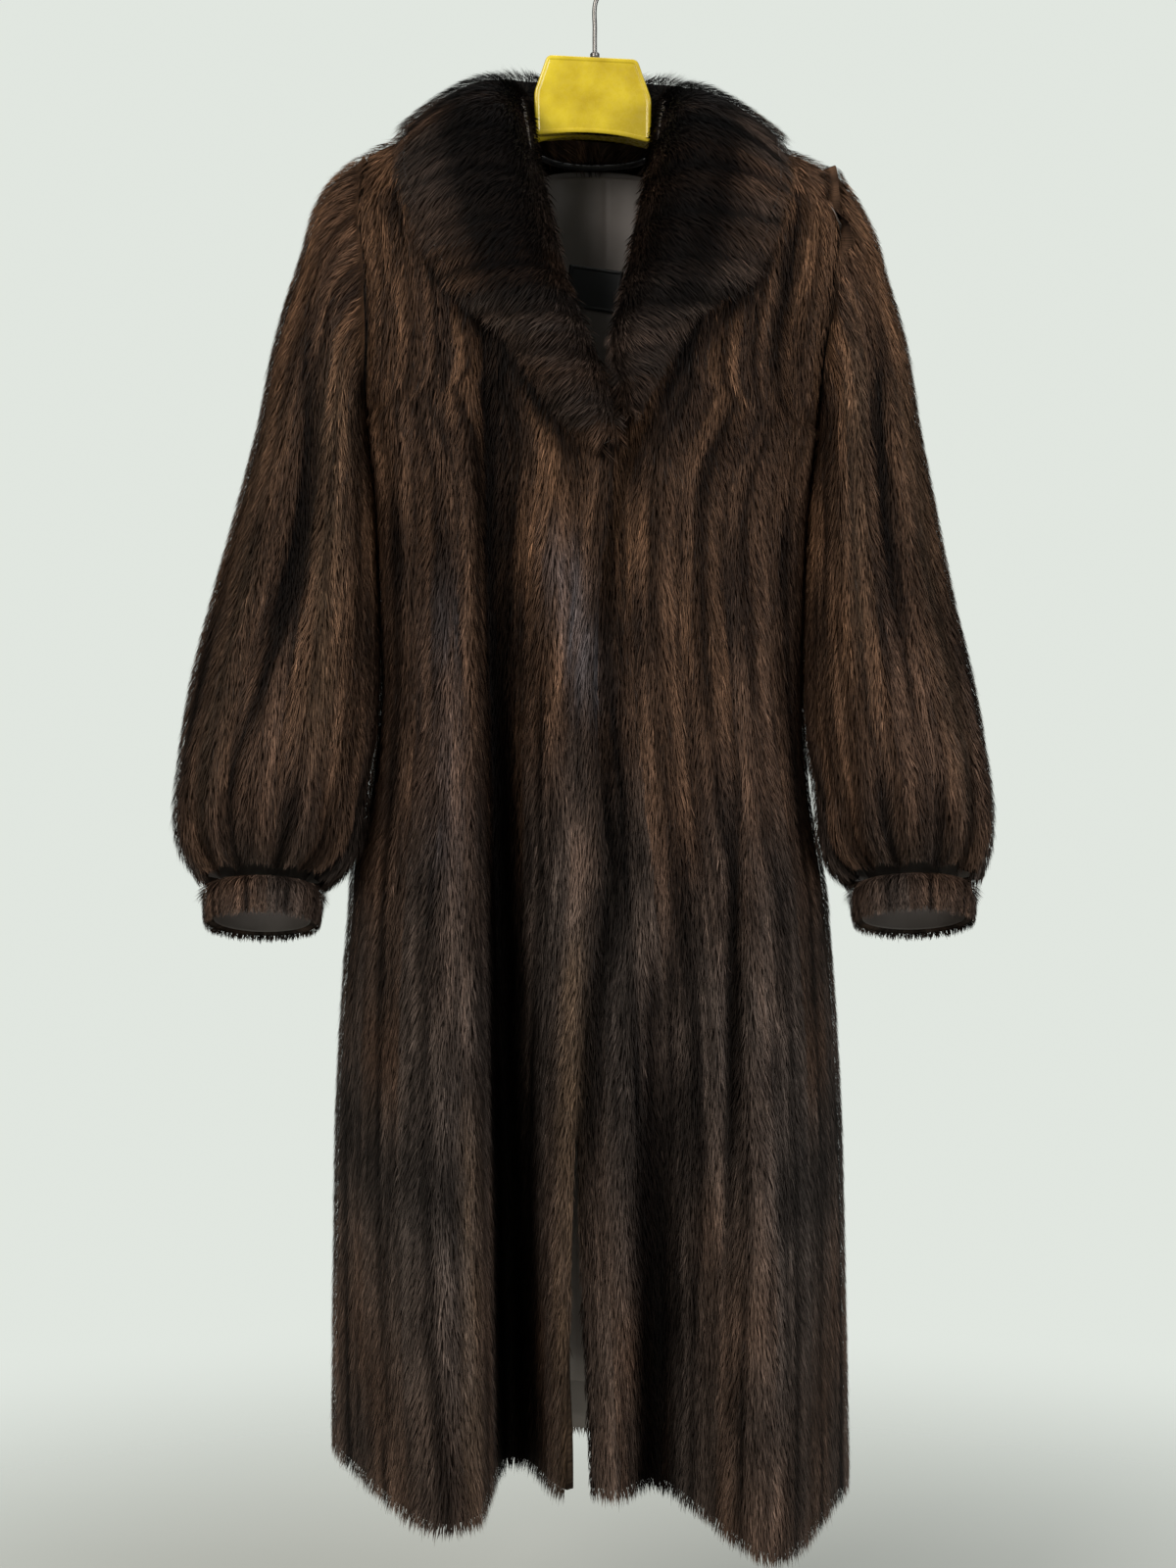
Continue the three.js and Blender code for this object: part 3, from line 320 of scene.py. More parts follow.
def bodySide(direction, y, z):
    # Half width of the body's section at a depth: half * (1 - depth^n)^(1/n), plus a gap
    start = line(body["shoulderLine"], direction * 205.0) - body["shoulderRise"]
    hem = line(body["frontHem"], direction * 205.0)
    level = mix(body["hemLevel"], body["shoulderStart"], np.clip((z - hem) / (start - hem), 0, 1))
    side = levelValue("side", level)
    reach = np.where(y < 0, levelValue("front", level), levelValue("back", level))
    depth = np.clip((y - side) / (reach - side), armholeShare(level), 0.93)
    n = levelValue("square", level)
    half = levelValue("left" if direction < 0 else "right", level)
    return direction * (half * (1 - depth ** n) ** (1 / n) + sleeveHead["gap"])


def sleevePoint(sleeve, angle, at, raised=True):
    # Ring middle + (halfX * cos, -deep * sin, halfZ * cos), with folds and gathers along the radius,
    # eased into the head ring on the body's side
    get = {name: curveThrough(sleeve["at"], sleeve[name], at)
           for name in ("outX", "outZ", "inX", "inZ", "mid", "deep", "tilt")}
    c, s = ringShape(angle)
    middle = np.stack([(get["outX"] + get["inX"]) / 2, get["mid"], (get["outZ"] + get["inZ"]) / 2], -1)
    lift = np.tan(np.radians(get["tilt"])) * get["deep"] * s
    offset = np.stack([(get["outX"] - get["inX"]) / 2 * c, -get["deep"] * s,
                       (get["outZ"] - get["inZ"]) / 2 * c + lift], -1)
    around = np.degrees(angle) % 360
    raise_ = np.zeros_like(around)
    for upper, lower, reach, depth, start, full, end in sleeve["folds"]:
        place = mix(upper, lower, smoothStep(at, 0.45, 0.92))
        apart = (around - place + 180) % 360 - 180
        share = np.abs(apart) / reach
        shape = np.where(share < 1, np.cos(np.minimum(share, 1) * np.pi / 2) ** 2, 0)
        strength = np.clip((at - start) / (full - start), 0, 1)
        strength = strength * (1 - smoothStep((at - full) / (end - full), 0, 1))
        raise_ = raise_ + depth * strength * shape
    if raised:
        gathered = smoothStep(at, gathers["from"], gathers["full"])
        raise_ = raise_ + gathers["depth"] * gathered * np.cos(gathers["count"] * angle)
    point = middle + offset + unit(offset) * raise_[..., None]
    direction = sleeve["direction"]
    rise = line(body["shoulderLine"], direction * 212.0) - body["shoulderTop"]
    y = -sleeveHead["deep"] * s
    z = sleeveHead["middle"] + 0.9 * rise + sleeveHead["high"] * c
    head = np.stack([bodySide(direction, y, z), y, z], -1)
    return mix(point, head, (1 - smoothStep(at, 0, sleeveHead["ease"]))[..., None])


def cuffPoint(sleeve, angle, inset, down):
    # Ellipse at the sleeve's end, less an inset, moved down along the slanted axis of the cuff
    last = {name: sleeve[name][-1] for name in ("outX", "inX", "mid", "deep", "tilt", "outZ")}
    slant = math.radians(last["tilt"])
    half = abs(last["outX"] - last["inX"]) / 2 - inset
    deep = last["deep"] - inset
    x = (last["outX"] + last["inX"]) / 2 + sleeve["direction"] * half * np.cos(angle)
    y = last["mid"] - deep * np.sin(angle) - down * math.sin(slant)
    z = last["outZ"] + deep * math.tan(slant) * np.sin(angle) - down * math.cos(slant)
    return np.stack([x, y, z], -1)


# The collar: a parabola through the inner edge, the roll and the outer edge, closed underneath

def bodyDepth(face, x, z):
    # y of the body's surface at a place across and a height
    start = line(body["shoulderLine"], x) - body["shoulderRise"]
    hem = line(body["frontHem"], x)
    level = mix(body["hemLevel"], body["shoulderStart"], np.clip((z - hem) / (start - hem), 0, 1))
    n = levelValue("square", level)
    half = np.where(x < 0, levelValue("left", level), levelValue("right", level))
    rise = (1 - np.clip(np.abs(x) / half, 0, 0.97) ** n) ** (1 / n)
    side = levelValue("side", level)
    return side + (levelValue(face, level) - side) * rise


def seatOnBody(point, lift):
    # Moves points straight out from the body to a given lift: level below the shoulder, radial on it
    x, y, z = point[..., 0], point[..., 1], point[..., 2]
    start = line(body["shoulderLine"], x) - body["shoulderRise"]
    level = np.where(y < 0, bodyDepth("front", x, z) - lift, bodyDepth("back", x, z) + lift)
    reach = np.abs(bodyDepth("back", x, start))
    turn = np.arctan2((z - start) / body["shoulderRise"], np.abs(y) / reach)
    side = np.where(y < 0, -1, 1)
    onTop = np.stack([x, (reach + lift) * np.cos(turn) * side,
                      start + (body["shoulderRise"] + lift) * np.sin(turn)], -1)
    return np.where((z < start)[..., None], np.stack([x, level, z], -1), onTop)


def collarKeys(at):
    # Catmull-Rom curve through the stations
    last = len(collarStations) - 1
    i = np.minimum((at * last).astype(int), last - 1)
    t = (at * last - i)[:, None, None]
    p, q, r, w = (collarStations[np.clip(i + step, 0, last)] for step in (-1, 0, 1, 2))
    return 0.5 * (2 * q + (r - p) * t + (2 * p - 5 * q + 4 * r - w) * t ** 2
                  + (3 * q - p - 3 * r + w) * t ** 3)


def collarGrid(stations, across, under):
    # Closed sections: the upper curve from the inner to the outer edge, then back underneath.
    # Also gives each point's partner on the other side, for walls and roots.
    keys = collarKeys(np.linspace(0, 1, stations))
    seam, roll = keys[:, 0], keys[:, 1]
    edge = seatOnBody(keys[:, 2], collar["wall"])
    k = collar["rollShare"]
    pull = (roll - (1 - k) ** 2 * seam - k * k * edge) / (2 * k * (1 - k))

    def upper(c):
        return ((1 - c) ** 2)[None, :, None] * seam[:, None] + (2 * c * (1 - c))[None, :, None] * pull[:, None] \
            + (c * c)[None, :, None] * edge[:, None]

    def lower(c):
        return seatOnBody(mix(seam[:, None], edge[:, None], c[None, :, None]), collar["lift"])

    top = np.linspace(0, 1, across)
    below = np.linspace(1, 0.16, under)
    points = np.concatenate([upper(top), lower(below)], 1)
    partners = np.concatenate([lower(np.clip(top, 0.1, 0.97)), upper(below)], 1)
    return points, partners


# Meshes from arrays

def normalsOf(points, ring=False):
    # Cross product of the two steps across the grid, turned outwards from the whole grid's middle line
    along = np.gradient(points, axis=0)
    if ring:
        closed = points[:, :-1]
        across = np.roll(closed, -1, 1) - np.roll(closed, 1, 1)
        across = np.concatenate([across, across[:, :1]], 1)
    else:
        across = np.gradient(points, axis=1)
    return unit(np.cross(across, along))


def easedNormals(normals, passes, ring=False):
    # Averages each normal with its neighbours across, a quarter from each side, as often as passes says
    n = normals.copy()
    for _ in range(passes):
        if ring:
            core = n[:, :-1]
            core = 0.5 * core + 0.25 * (np.roll(core, 1, 1) + np.roll(core, -1, 1))
            n = np.concatenate([core, core[:, :1]], 1)
        else:
            n[:, 1:-1] = 0.5 * n[:, 1:-1] + 0.25 * (n[:, 2:] + n[:, :-2])
    return unit(n)


def newObject(name, points, corners, sizes, smooth=True):
    # points in mm; corners is the flat list of point numbers of the faces, sizes the corners of each face
    mesh = bpy.data.meshes.new(name)
    mesh.vertices.add(len(points))
    mesh.vertices.foreach_set("co", (np.asarray(points, np.float32) * 0.001).ravel())
    mesh.loops.add(len(corners))
    mesh.loops.foreach_set("vertex_index", np.asarray(corners, np.int32))
    mesh.polygons.add(len(sizes))
    mesh.polygons.foreach_set("loop_start", np.concatenate([[0], np.cumsum(sizes)[:-1]]).astype(np.int32))
    mesh.polygons.foreach_set("use_smooth", np.full(len(sizes), smooth))
    mesh.update(calc_edges=True)
    mesh.validate()
    thing = bpy.data.objects.new(name, mesh)
    bpy.context.scene.collection.objects.link(thing)
    return thing


def shellObject(name, outer, inner, ring=False):
    # A wall between two grids: quads of the outer one, of the inner one turned round, and of the rim
    rows, columns = outer.shape[:2]
    count = rows * columns
    index = np.arange(count).reshape(rows, columns)
    if ring:
        index = np.concatenate([index, index[:, :1]], 1)
    a, b, c, d = index[:-1, :-1], index[:-1, 1:], index[1:, 1:], index[1:, :-1]
    outside = np.stack([a, b, c, d], -1).reshape(-1, 4)
    inside = np.stack([a, d, c, b], -1).reshape(-1, 4) + count
    low, high = index[0], index[-1]
    rims = [np.stack([low[1:], low[:-1], low[:-1] + count, low[1:] + count], -1),
            np.stack([high[:-1], high[1:], high[1:] + count, high[:-1] + count], -1)]
    if not ring:
        first, last = index[:, 0], index[:, -1]
        rims.append(np.stack([first[:-1], first[1:], first[1:] + count, first[:-1] + count], -1))
        rims.append(np.stack([last[1:], last[:-1], last[:-1] + count, last[1:] + count], -1))
    quads = np.concatenate([outside, inside] + rims)
    points = np.concatenate([outer.reshape(-1, 3), inner.reshape(-1, 3)])
    p = points[quads]
    volume = np.sum(p[:, 0] * np.cross(p[:, 1], p[:, 2])) + np.sum(p[:, 0] * np.cross(p[:, 2], p[:, 3]))
    if volume < 0:
        quads = quads[:, ::-1]
    thing = newObject(name, points, quads.ravel(), np.full(len(quads), 4))
    slots = np.zeros(len(quads), np.int32)
    slots[len(outside):len(outside) + len(inside)] = 1
    thing.data.polygons.foreach_set("material_index", slots)
    return thing


def tubeParts(path, radius, sides):
    # Circles of the radius across the path, closed with a rounded cap at each end
    path = np.asarray(path, float)
    along = unit(np.gradient(path, axis=0))
    across = unit(np.cross(along, np.array([0, 1, 0.01])))
    up = np.cross(along, across)
    turn = np.linspace(0, 2 * np.pi, sides, endpoint=False)
    ring = np.cos(turn)[None, :, None] * across[:, None] + np.sin(turn)[None, :, None] * up[:, None]
    first = path[:1, None] + ring[:1] * radius * 0.6 - along[:1, None] * radius * 0.7
    last = path[-1:, None] + ring[-1:] * radius * 0.6 + along[-1:, None] * radius * 0.7
    return loftParts(np.concatenate([first, path[:, None] + ring * radius, last]))


def loftParts(sections):
    # Closed sections joined by quads, with a flat face over each end
    rows, sides = sections.shape[:2]
    index = np.arange(rows * sides).reshape(rows, sides)
    index = np.concatenate([index, index[:, :1]], 1)
    a, b, c, d = index[:-1, :-1], index[:-1, 1:], index[1:, 1:], index[1:, :-1]
    quads = np.stack([a, b, c, d], -1).reshape(-1, 4)
    corners = np.concatenate([quads.ravel(), index[0, :-1][::-1], index[-1, :-1]])
    sizes = np.concatenate([np.full(len(quads), 4), [sides, sides]])
    points = sections.reshape(-1, 3)
    # Turned round if the sum of p0 . (p1 x p2) over the quads is negative
    q = points[quads]
    middle = points.mean(0)
    signed = np.sum((q[:, 0] - middle) * np.cross(q[:, 1] - middle, q[:, 2] - middle))
    if signed < 0:
        quads = quads[:, ::-1]
        corners = np.concatenate([quads.ravel(), index[0, :-1], index[-1, :-1][::-1]])
    return points, corners, sizes


def joinParts(name, parts, finish, nodes):
    # One object from several lists of points, corners and sizes
    points, corners, sizes, start = [], [], [], 0
    for p, c, n in parts:
        points.append(p)
        corners.append(np.asarray(c) + start)
        sizes.append(n)
        start += len(p)
    thing = newObject(name, np.concatenate(points), np.concatenate(corners), np.concatenate(sizes))
    thing.data.materials.append(materials[finish])
    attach(thing, "root")
    if nodes:
        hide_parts(*nodes)
    return thing


def smoothPath(points, count):
    # A curve through points, read at even steps of their running length
    points = np.asarray(points, float)
    run = np.concatenate([[0], np.cumsum(np.linalg.norm(np.diff(points, axis=0), axis=1))])
    at = np.linspace(0, run[-1], count)
    return np.stack([curveThrough(run, points[:, k], at) for k in range(3)], 1)


# Fur: each hair is a small kite, with its root on the pelt, its widest place at two fifths and its tip
# at about the surface of the coat. Thousands of them are one mesh.

fur = {
    "length": 16,        # mm from root to tip, along the coat
    "rise": 4.8,         # mm that a tip stands above the pelt
    "width": 0.95,       # mm at the widest place of a hair
    "rootDepth": 4.4,    # mm from the coat's surface down to the pelt
    "thinDepth": -0.8,   # the same where a sleeve and the body touch
    "linedDepth": 11.4,  # mm from the coat's surface to its lined inner face
    "splay": 7,          # degrees that the hair turns away from the middle of its skin
    "wander": 4,         # degrees of random turn
    "clump": 5,          # degrees of turn that neighbours share
    "guardShare": 0.06,  # part of the hairs that are long guard hairs
}
furColour = {           # linear red, green and blue
    "brown": (0.046, 0.0265, 0.0175),
    "warm": (0.076, 0.0385, 0.0200),
    "cool": (0.070, 0.055, 0.047),
    # amber is the fur's own lighter tone and also a painted highlight on rolls and a flute's lip; sheen is a painted
    # sheen; glint is a painted glint on the hair tips, strongest on the pale-tipped guard hairs
    "amber": (0.17, 0.105, 0.063),
    "sheen": (0.18, 0.17, 0.185),
    "glint": (0.17, 0.15, 0.14),
}


def valueNoise(x, y, seed):
    # Random numbers on a lattice, blended with t * t * (3 - 2 t) between its points
    table = np.random.default_rng(seed).random((64, 64))
    i, j = np.floor(x).astype(int), np.floor(y).astype(int)
    s, t = x - i, y - j
    s, t = s * s * (3 - 2 * s), t * t * (3 - 2 * t)
    low = mix(table[i % 64, j % 64], table[(i + 1) % 64, j % 64], s)
    high = mix(table[i % 64, (j + 1) % 64], table[(i + 1) % 64, (j + 1) % 64], s)
    return mix(low, high, t)


def skinColour(strip, place, shade, warmth):
    # Dark line down the middle of each skin and brown flanks, times the painted shade of the place (dark in
    # hollows); the warmth goes from cool over brown to warm
    skin = np.round(strip)
    offset = strip - skin
    wide = 0.09 + 0.05 * valueNoise(skin * 3.1, place[..., 2] / 120, 4)
    centre = np.exp(-(offset / wide) ** 2) * (0.45 + 0.55 * valueNoise(skin * 5.7 + 3, place[..., 2] / 160, 6))
    patch = valueNoise(skin * 7.3 + 11, place[..., 2] / 190 + skin * 0.37, 3)
    blotch = valueNoise(strip * 2.1 + 5, place[..., 2] / 85 + strip * 0.21, 5)
    fine = valueNoise(strip * 10, place[..., 2] / 60 + strip * 0.9, 8)
    heat = np.clip(warmth + 0.40 * (patch - 0.5) + 0.24 * (blotch - 0.5), 0, 1)[..., None]
    colour = mix(np.array(furColour["brown"]), np.array(furColour["warm"]), np.clip(2 * heat - 1, 0, 1))
    colour = mix(np.array(furColour["cool"]), colour, np.clip(2 * heat, 0, 1))
    light = 1.12 * ((0.45 + 0.72 * blotch + 0.40 * patch) * (0.52 + 0.86 * fine)) ** 1.5
    light = light * (1 - 0.86 * centre) * shade
    return colour * light[..., None]


def softBand(place, band):
    # Gauss across a slanted line, eased in and out along the height
    name, topX, lowX, topZ, lowZ, half, tone, amount = band
    x = mix(topX, lowX, (topZ - place[..., 2]) / (topZ - lowZ))
    ends = smoothStep(-place[..., 2], -topZ - 45, -topZ + 45) * (1 - smoothStep(-place[..., 2], -lowZ - 45, -lowZ + 45))
    return amount * ends * np.exp(-((place[..., 0] - x) / half) ** 2)


def paintBands(colour, place, strip, bands):
    # Mixes each band's tone in, in streaks along the hair; the black ones, mostly painted shade, go in whole
    streak = 0.45 + 1.1 * valueNoise(strip * 12, place[..., 2] / 34, 13)
    for band in bands:
        share = np.clip(softBand(place, band) * (streak if band[6] != "black" else 1), 0, 1)[..., None]
        tone = 0.08 * np.array(furColour["brown"]) if band[6] == "black" else np.array(furColour[band[6]])
        colour = mix(colour, tone, share)
    return colour


def growFur(name, grid, count, seed):
    # Roots are spread by area over the grid. Mid = root + 0.42 L t + 0.62 H n, tip = root + L t + H n.
    rng = np.random.default_rng(seed)
    points, normals, roots, lay = (grid[key] for key in ("points", "normals", "roots", "lay"))
    d1 = points[1:, 1:] - points[:-1, :-1]
    d2 = points[1:, :-1] - points[:-1, 1:]
    area = 0.5 * np.linalg.norm(np.cross(d1, d2), axis=2) * grid["weight"][:-1, :-1]
    total = np.cumsum(area.ravel())
    pick = np.searchsorted(total, (np.arange(count) + rng.random(count)) / count * total[-1])
    pick = np.minimum(pick, len(total) - 1)
    row, column = np.divmod(pick, area.shape[1])
    a, b = rng.random(count)[:, None], rng.random(count)[:, None]
    field = np.concatenate([roots, normals, lay, points, grid["strip"][..., None], grid["shade"][..., None],
                            grid["warmth"][..., None], grid["short"][..., None]], 2)
    value = mix(mix(field[row, column], field[row + 1, column], a),
                mix(field[row, column + 1], field[row + 1, column + 1], a), b)
    root, n, t, place = value[:, 0:3], unit(value[:, 3:6]), value[:, 6:9], value[:, 9:12]
    strip, shade, warmth, short = value[:, 12], value[:, 13], value[:, 14], value[:, 15]
    t = unit(t - n * np.sum(t * n, 1, keepdims=True))
    side = np.cross(n, t)
    yaw = np.radians(fur["splay"]) * np.sin(2 * np.pi * (strip - np.round(strip))) * grid["hand"]
    yaw = yaw + np.radians(fur["wander"]) * rng.standard_normal(count)
    clump = valueNoise(strip * 3.3, place[:, 2] / 26, seed + 1) - 0.5
    yaw = yaw + np.radians(2 * fur["clump"]) * clump
    t = t * np.cos(yaw)[:, None] + side * np.sin(yaw)[:, None]
    side = np.cross(n, t)
    guard = rng.random(count) < fur["guardShare"]
    size = grid["scale"] * short
    length = fur["length"] * size * (0.75 + 0.5 * rng.random(count)) * np.where(guard, 1.2, 1)
    rise = fur["rise"] * size * (0.72 + 0.5 * rng.random(count)) * np.where(guard, 1.25, 1)
    width = fur["width"] * grid["broad"] * (0.7 + 0.6 * rng.random(count)) * np.where(guard, 0.6, 1)
    roll = np.radians(9) * rng.standard_normal(count)
    blade = side * np.cos(roll)[:, None] + n * np.sin(roll)[:, None]
    mid = root + t * (0.42 * length)[:, None] + n * (0.62 * rise)[:, None]
    curl = side * (0.8 * rng.standard_normal(count))[:, None]
    tip = root + t * length[:, None] + n * rise[:, None] + curl
    half = blade * (width / 2)[:, None]
    spots = np.stack([root, mid - half, mid + half, tip], 1)
    start = unit(mid - root)
    end = unit(tip - mid)
    tangent = np.stack([start, unit(start + end), unit(start + end), end], 1)
    facing = unit(n[:, None] - 0.4 * tangent * np.sum(n[:, None] * tangent, 2, keepdims=True))
    turn = roll[:, None] + np.radians([0, -9, 9, 0])
    shading = unit(facing * np.cos(turn)[..., None] - side[:, None] * np.sin(turn)[..., None])
    first = 4 * np.arange(count)[:, None]
    corners = np.concatenate([first + [0, 1, 2], first + [1, 3, 2]], 1)
    thing = newObject(name, spots.reshape(-1, 3), corners.ravel(), np.full(2 * count, 3))
    colour = paintBands(skinColour(strip, place, shade, warmth), place, strip, grid["bands"])
    colour = colour * np.exp(0.34 * rng.standard_normal(count))[:, None]
    glint = np.where(guard, 0.42, 0.05) * rng.random(count) * np.clip(shade, 0, 1)
    tipColour = mix(1.2 * colour, np.array(furColour["glint"]), glint[:, None])
    shades = np.stack([0.5 * colour, 0.92 * colour, 0.92 * colour, tipColour], 1)
    tint = np.concatenate([shades, np.ones((count, 4, 1))], 2).astype(np.float32)
    layer = thing.data.attributes.new("tint", "FLOAT_COLOR", "POINT")
    layer.data.foreach_set("color", tint.ravel())
    thing.data.normals_split_custom_set_from_vertices(shading.reshape(-1, 3).astype(np.float32))
    thing.data.materials.append(materials["hair"])
    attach(thing, "root")
    return thing


def layDown(points, normals, outward=0.08):
    # World's down and a little outwards, laid into the surface
    want = np.zeros_like(points)
    want[..., 0] = outward * np.clip(points[..., 0] / 60, -1, 1)
    want[..., 2] = -1
    return unit(want - normals * np.sum(want * normals, -1, keepdims=True))


# Materials

materials = {}


def newMaterial(name):
    material = bpy.data.materials.new(name)
    material.use_nodes = True
    nodes = material.node_tree.nodes
    links = material.node_tree.links
    shader = next(node for node in nodes if node.type == "BSDF_PRINCIPLED")
    materials[name] = material
    return nodes, links, shader


def hairMaterial():
    # Each hair's own tint, with slow patches of light and shade over the coat
    nodes, links, shader = newMaterial("hair")
    tint = nodes.new("ShaderNodeAttribute")
    tint.attribute_name = "tint"
    place = nodes.new("ShaderNodeTexCoord")
    patch = nodes.new("ShaderNodeTexNoise")
    patch.inputs["Scale"].default_value = 9
    patch.inputs["Detail"].default_value = 3
    ramp = nodes.new("ShaderNodeMapRange")
    ramp.inputs["From Min"].default_value = 0.3
    ramp.inputs["From Max"].default_value = 0.7
    ramp.inputs["To Min"].default_value = 0.8
    ramp.inputs["To Max"].default_value = 1.2
    scale = nodes.new("ShaderNodeVectorMath")
    scale.operation = "SCALE"
    links.new(place.outputs["Object"], patch.inputs["Vector"])
    links.new(patch.outputs["Fac"], ramp.inputs["Value"])
    links.new(tint.outputs["Color"], scale.inputs[0])
    links.new(ramp.outputs["Result"], scale.inputs["Scale"])
    links.new(scale.outputs["Vector"], shader.inputs["Base Color"])
    shader.inputs["Roughness"].default_value = 0.6
    shader.inputs["Specular IOR Level"].default_value = 0.05


def peltMaterial():
    # Dense underfur: the coat's own tint, broken by fine streaks along the hair, which the UV map follows
    nodes, links, shader = newMaterial("underfur")
    tint = nodes.new("ShaderNodeAttribute")
    tint.attribute_name = "tint"
    place = nodes.new("ShaderNodeUVMap")
    place.uv_map = "alongHair"
    stretch = nodes.new("ShaderNodeMapping")
    stretch.inputs["Scale"].default_value = (900, 70, 1)
    streak = nodes.new("ShaderNodeTexNoise")
    streak.inputs["Scale"].default_value = 1
    streak.inputs["Detail"].default_value = 3
    ramp = nodes.new("ShaderNodeMapRange")
    ramp.inputs["From Min"].default_value = 0.3
    ramp.inputs["From Max"].default_value = 0.7
    ramp.inputs["To Min"].default_value = 0.35
    ramp.inputs["To Max"].default_value = 1.25
    scale = nodes.new("ShaderNodeVectorMath")
    scale.operation = "SCALE"
    bump = nodes.new("ShaderNodeBump")
    bump.inputs["Strength"].default_value = 0.5
    bump.inputs["Distance"].default_value = 0.0012
    links.new(place.outputs["UV"], stretch.inputs["Vector"])
    links.new(stretch.outputs["Vector"], streak.inputs["Vector"])
    links.new(streak.outputs["Fac"], ramp.inputs["Value"])
    links.new(tint.outputs["Color"], scale.inputs[0])
    links.new(ramp.outputs["Result"], scale.inputs["Scale"])
    links.new(scale.outputs["Vector"], shader.inputs["Base Color"])
    links.new(streak.outputs["Fac"], bump.inputs["Height"])
    links.new(bump.outputs["Normal"], shader.inputs["Normal"])
    shader.inputs["Roughness"].default_value = 0.75
    shader.inputs["Specular IOR Level"].default_value = 0.04


def satinMaterial(name, dark, light, weave, roughness):
    # Satin: fine crossed threads in the bump and a soft change of tone along the cloth
    nodes, links, shader = newMaterial(name)
    place = nodes.new("ShaderNodeTexCoord")
    tone = nodes.new("ShaderNodeTexNoise")
    tone.inputs["Scale"].default_value = 14
    tone.inputs["Detail"].default_value = 5
    ramp = nodes.new("ShaderNodeValToRGB")
    ramp.color_ramp.elements[0].position = 0.3
    ramp.color_ramp.elements[0].color = (*dark, 1)
    ramp.color_ramp.elements[1].position = 0.7
    ramp.color_ramp.elements[1].color = (*light, 1)
    warp = nodes.new("ShaderNodeTexWave")
    warp.bands_direction = "X"
    warp.inputs["Scale"].default_value = weave
    weft = nodes.new("ShaderNodeTexWave")
    weft.bands_direction = "Z"
    weft.inputs["Scale"].default_value = weave
    both = nodes.new("ShaderNodeMath")
    both.operation = "ADD"
    bump = nodes.new("ShaderNodeBump")
    bump.inputs["Strength"].default_value = 0.18
    bump.inputs["Distance"].default_value = 0.0004
    for texture in (tone, warp, weft):
        links.new(place.outputs["Object"], texture.inputs["Vector"])
    links.new(tone.outputs["Fac"], ramp.inputs["Fac"])
    links.new(ramp.outputs["Color"], shader.inputs["Base Color"])
    links.new(warp.outputs["Fac"], both.inputs[0])
    links.new(weft.outputs["Fac"], both.inputs[1])
    links.new(both.outputs["Value"], bump.inputs["Height"])
    links.new(bump.outputs["Normal"], shader.inputs["Normal"])
    shader.inputs["Roughness"].default_value = roughness
    shader.inputs["Anisotropic"].default_value = 0.4
    shader.inputs["Sheen Weight"].default_value = 0.15
    shader.inputs["Sheen Roughness"].default_value = 0.35


def plasticMaterial():
    # Glossy mustard plastic with faint clouding and fine scratches in its gloss
    nodes, links, shader = newMaterial("mustardPlastic")
    place = nodes.new("ShaderNodeTexCoord")
    cloud = nodes.new("ShaderNodeTexNoise")
    cloud.inputs["Scale"].default_value = 35
    cloud.inputs["Detail"].default_value = 4
    ramp = nodes.new("ShaderNodeValToRGB")
    ramp.color_ramp.elements[0].position = 0.3
    ramp.color_ramp.elements[0].color = (0.50, 0.35, 0.010, 1)
    ramp.color_ramp.elements[1].position = 0.72
    ramp.color_ramp.elements[1].color = (0.74, 0.56, 0.026, 1)
    scratch = nodes.new("ShaderNodeTexNoise")
    scratch.inputs["Scale"].default_value = 260
    scratch.inputs["Detail"].default_value = 6
    gloss = nodes.new("ShaderNodeMapRange")
    gloss.inputs["From Min"].default_value = 0.35
    gloss.inputs["From Max"].default_value = 0.75
    gloss.inputs["To Min"].default_value = 0.22
    gloss.inputs["To Max"].default_value = 0.38
    bump = nodes.new("ShaderNodeBump")
    bump.inputs["Strength"].default_value = 0.12
    bump.inputs["Distance"].default_value = 0.0006
    links.new(place.outputs["Object"], cloud.inputs["Vector"])
    links.new(place.outputs["Object"], scratch.inputs["Vector"])
    links.new(cloud.outputs["Fac"], ramp.inputs["Fac"])
    links.new(ramp.outputs["Color"], shader.inputs["Base Color"])
    links.new(scratch.outputs["Fac"], gloss.inputs["Value"])
    links.new(gloss.outputs["Result"], shader.inputs["Roughness"])
    links.new(cloud.outputs["Fac"], bump.inputs["Height"])
    links.new(bump.outputs["Normal"], shader.inputs["Normal"])
    shader.inputs["Coat Weight"].default_value = 0.25
    shader.inputs["Coat Roughness"].default_value = 0.2


def threadMaterial():
    # Matt dark thread with a fine twist
    nodes, links, shader = newMaterial("thread")
    place = nodes.new("ShaderNodeTexCoord")
    twist = nodes.new("ShaderNodeTexNoise")
    twist.inputs["Scale"].default_value = 1800
    ramp = nodes.new("ShaderNodeValToRGB")
    ramp.color_ramp.elements[0].color = (0.012, 0.012, 0.012, 1)
    ramp.color_ramp.elements[1].color = (0.045, 0.042, 0.040, 1)
    links.new(place.outputs["Object"], twist.inputs["Vector"])
    links.new(twist.outputs["Fac"], ramp.inputs["Fac"])
    links.new(ramp.outputs["Color"], shader.inputs["Base Color"])
    shader.inputs["Roughness"].default_value = 0.7


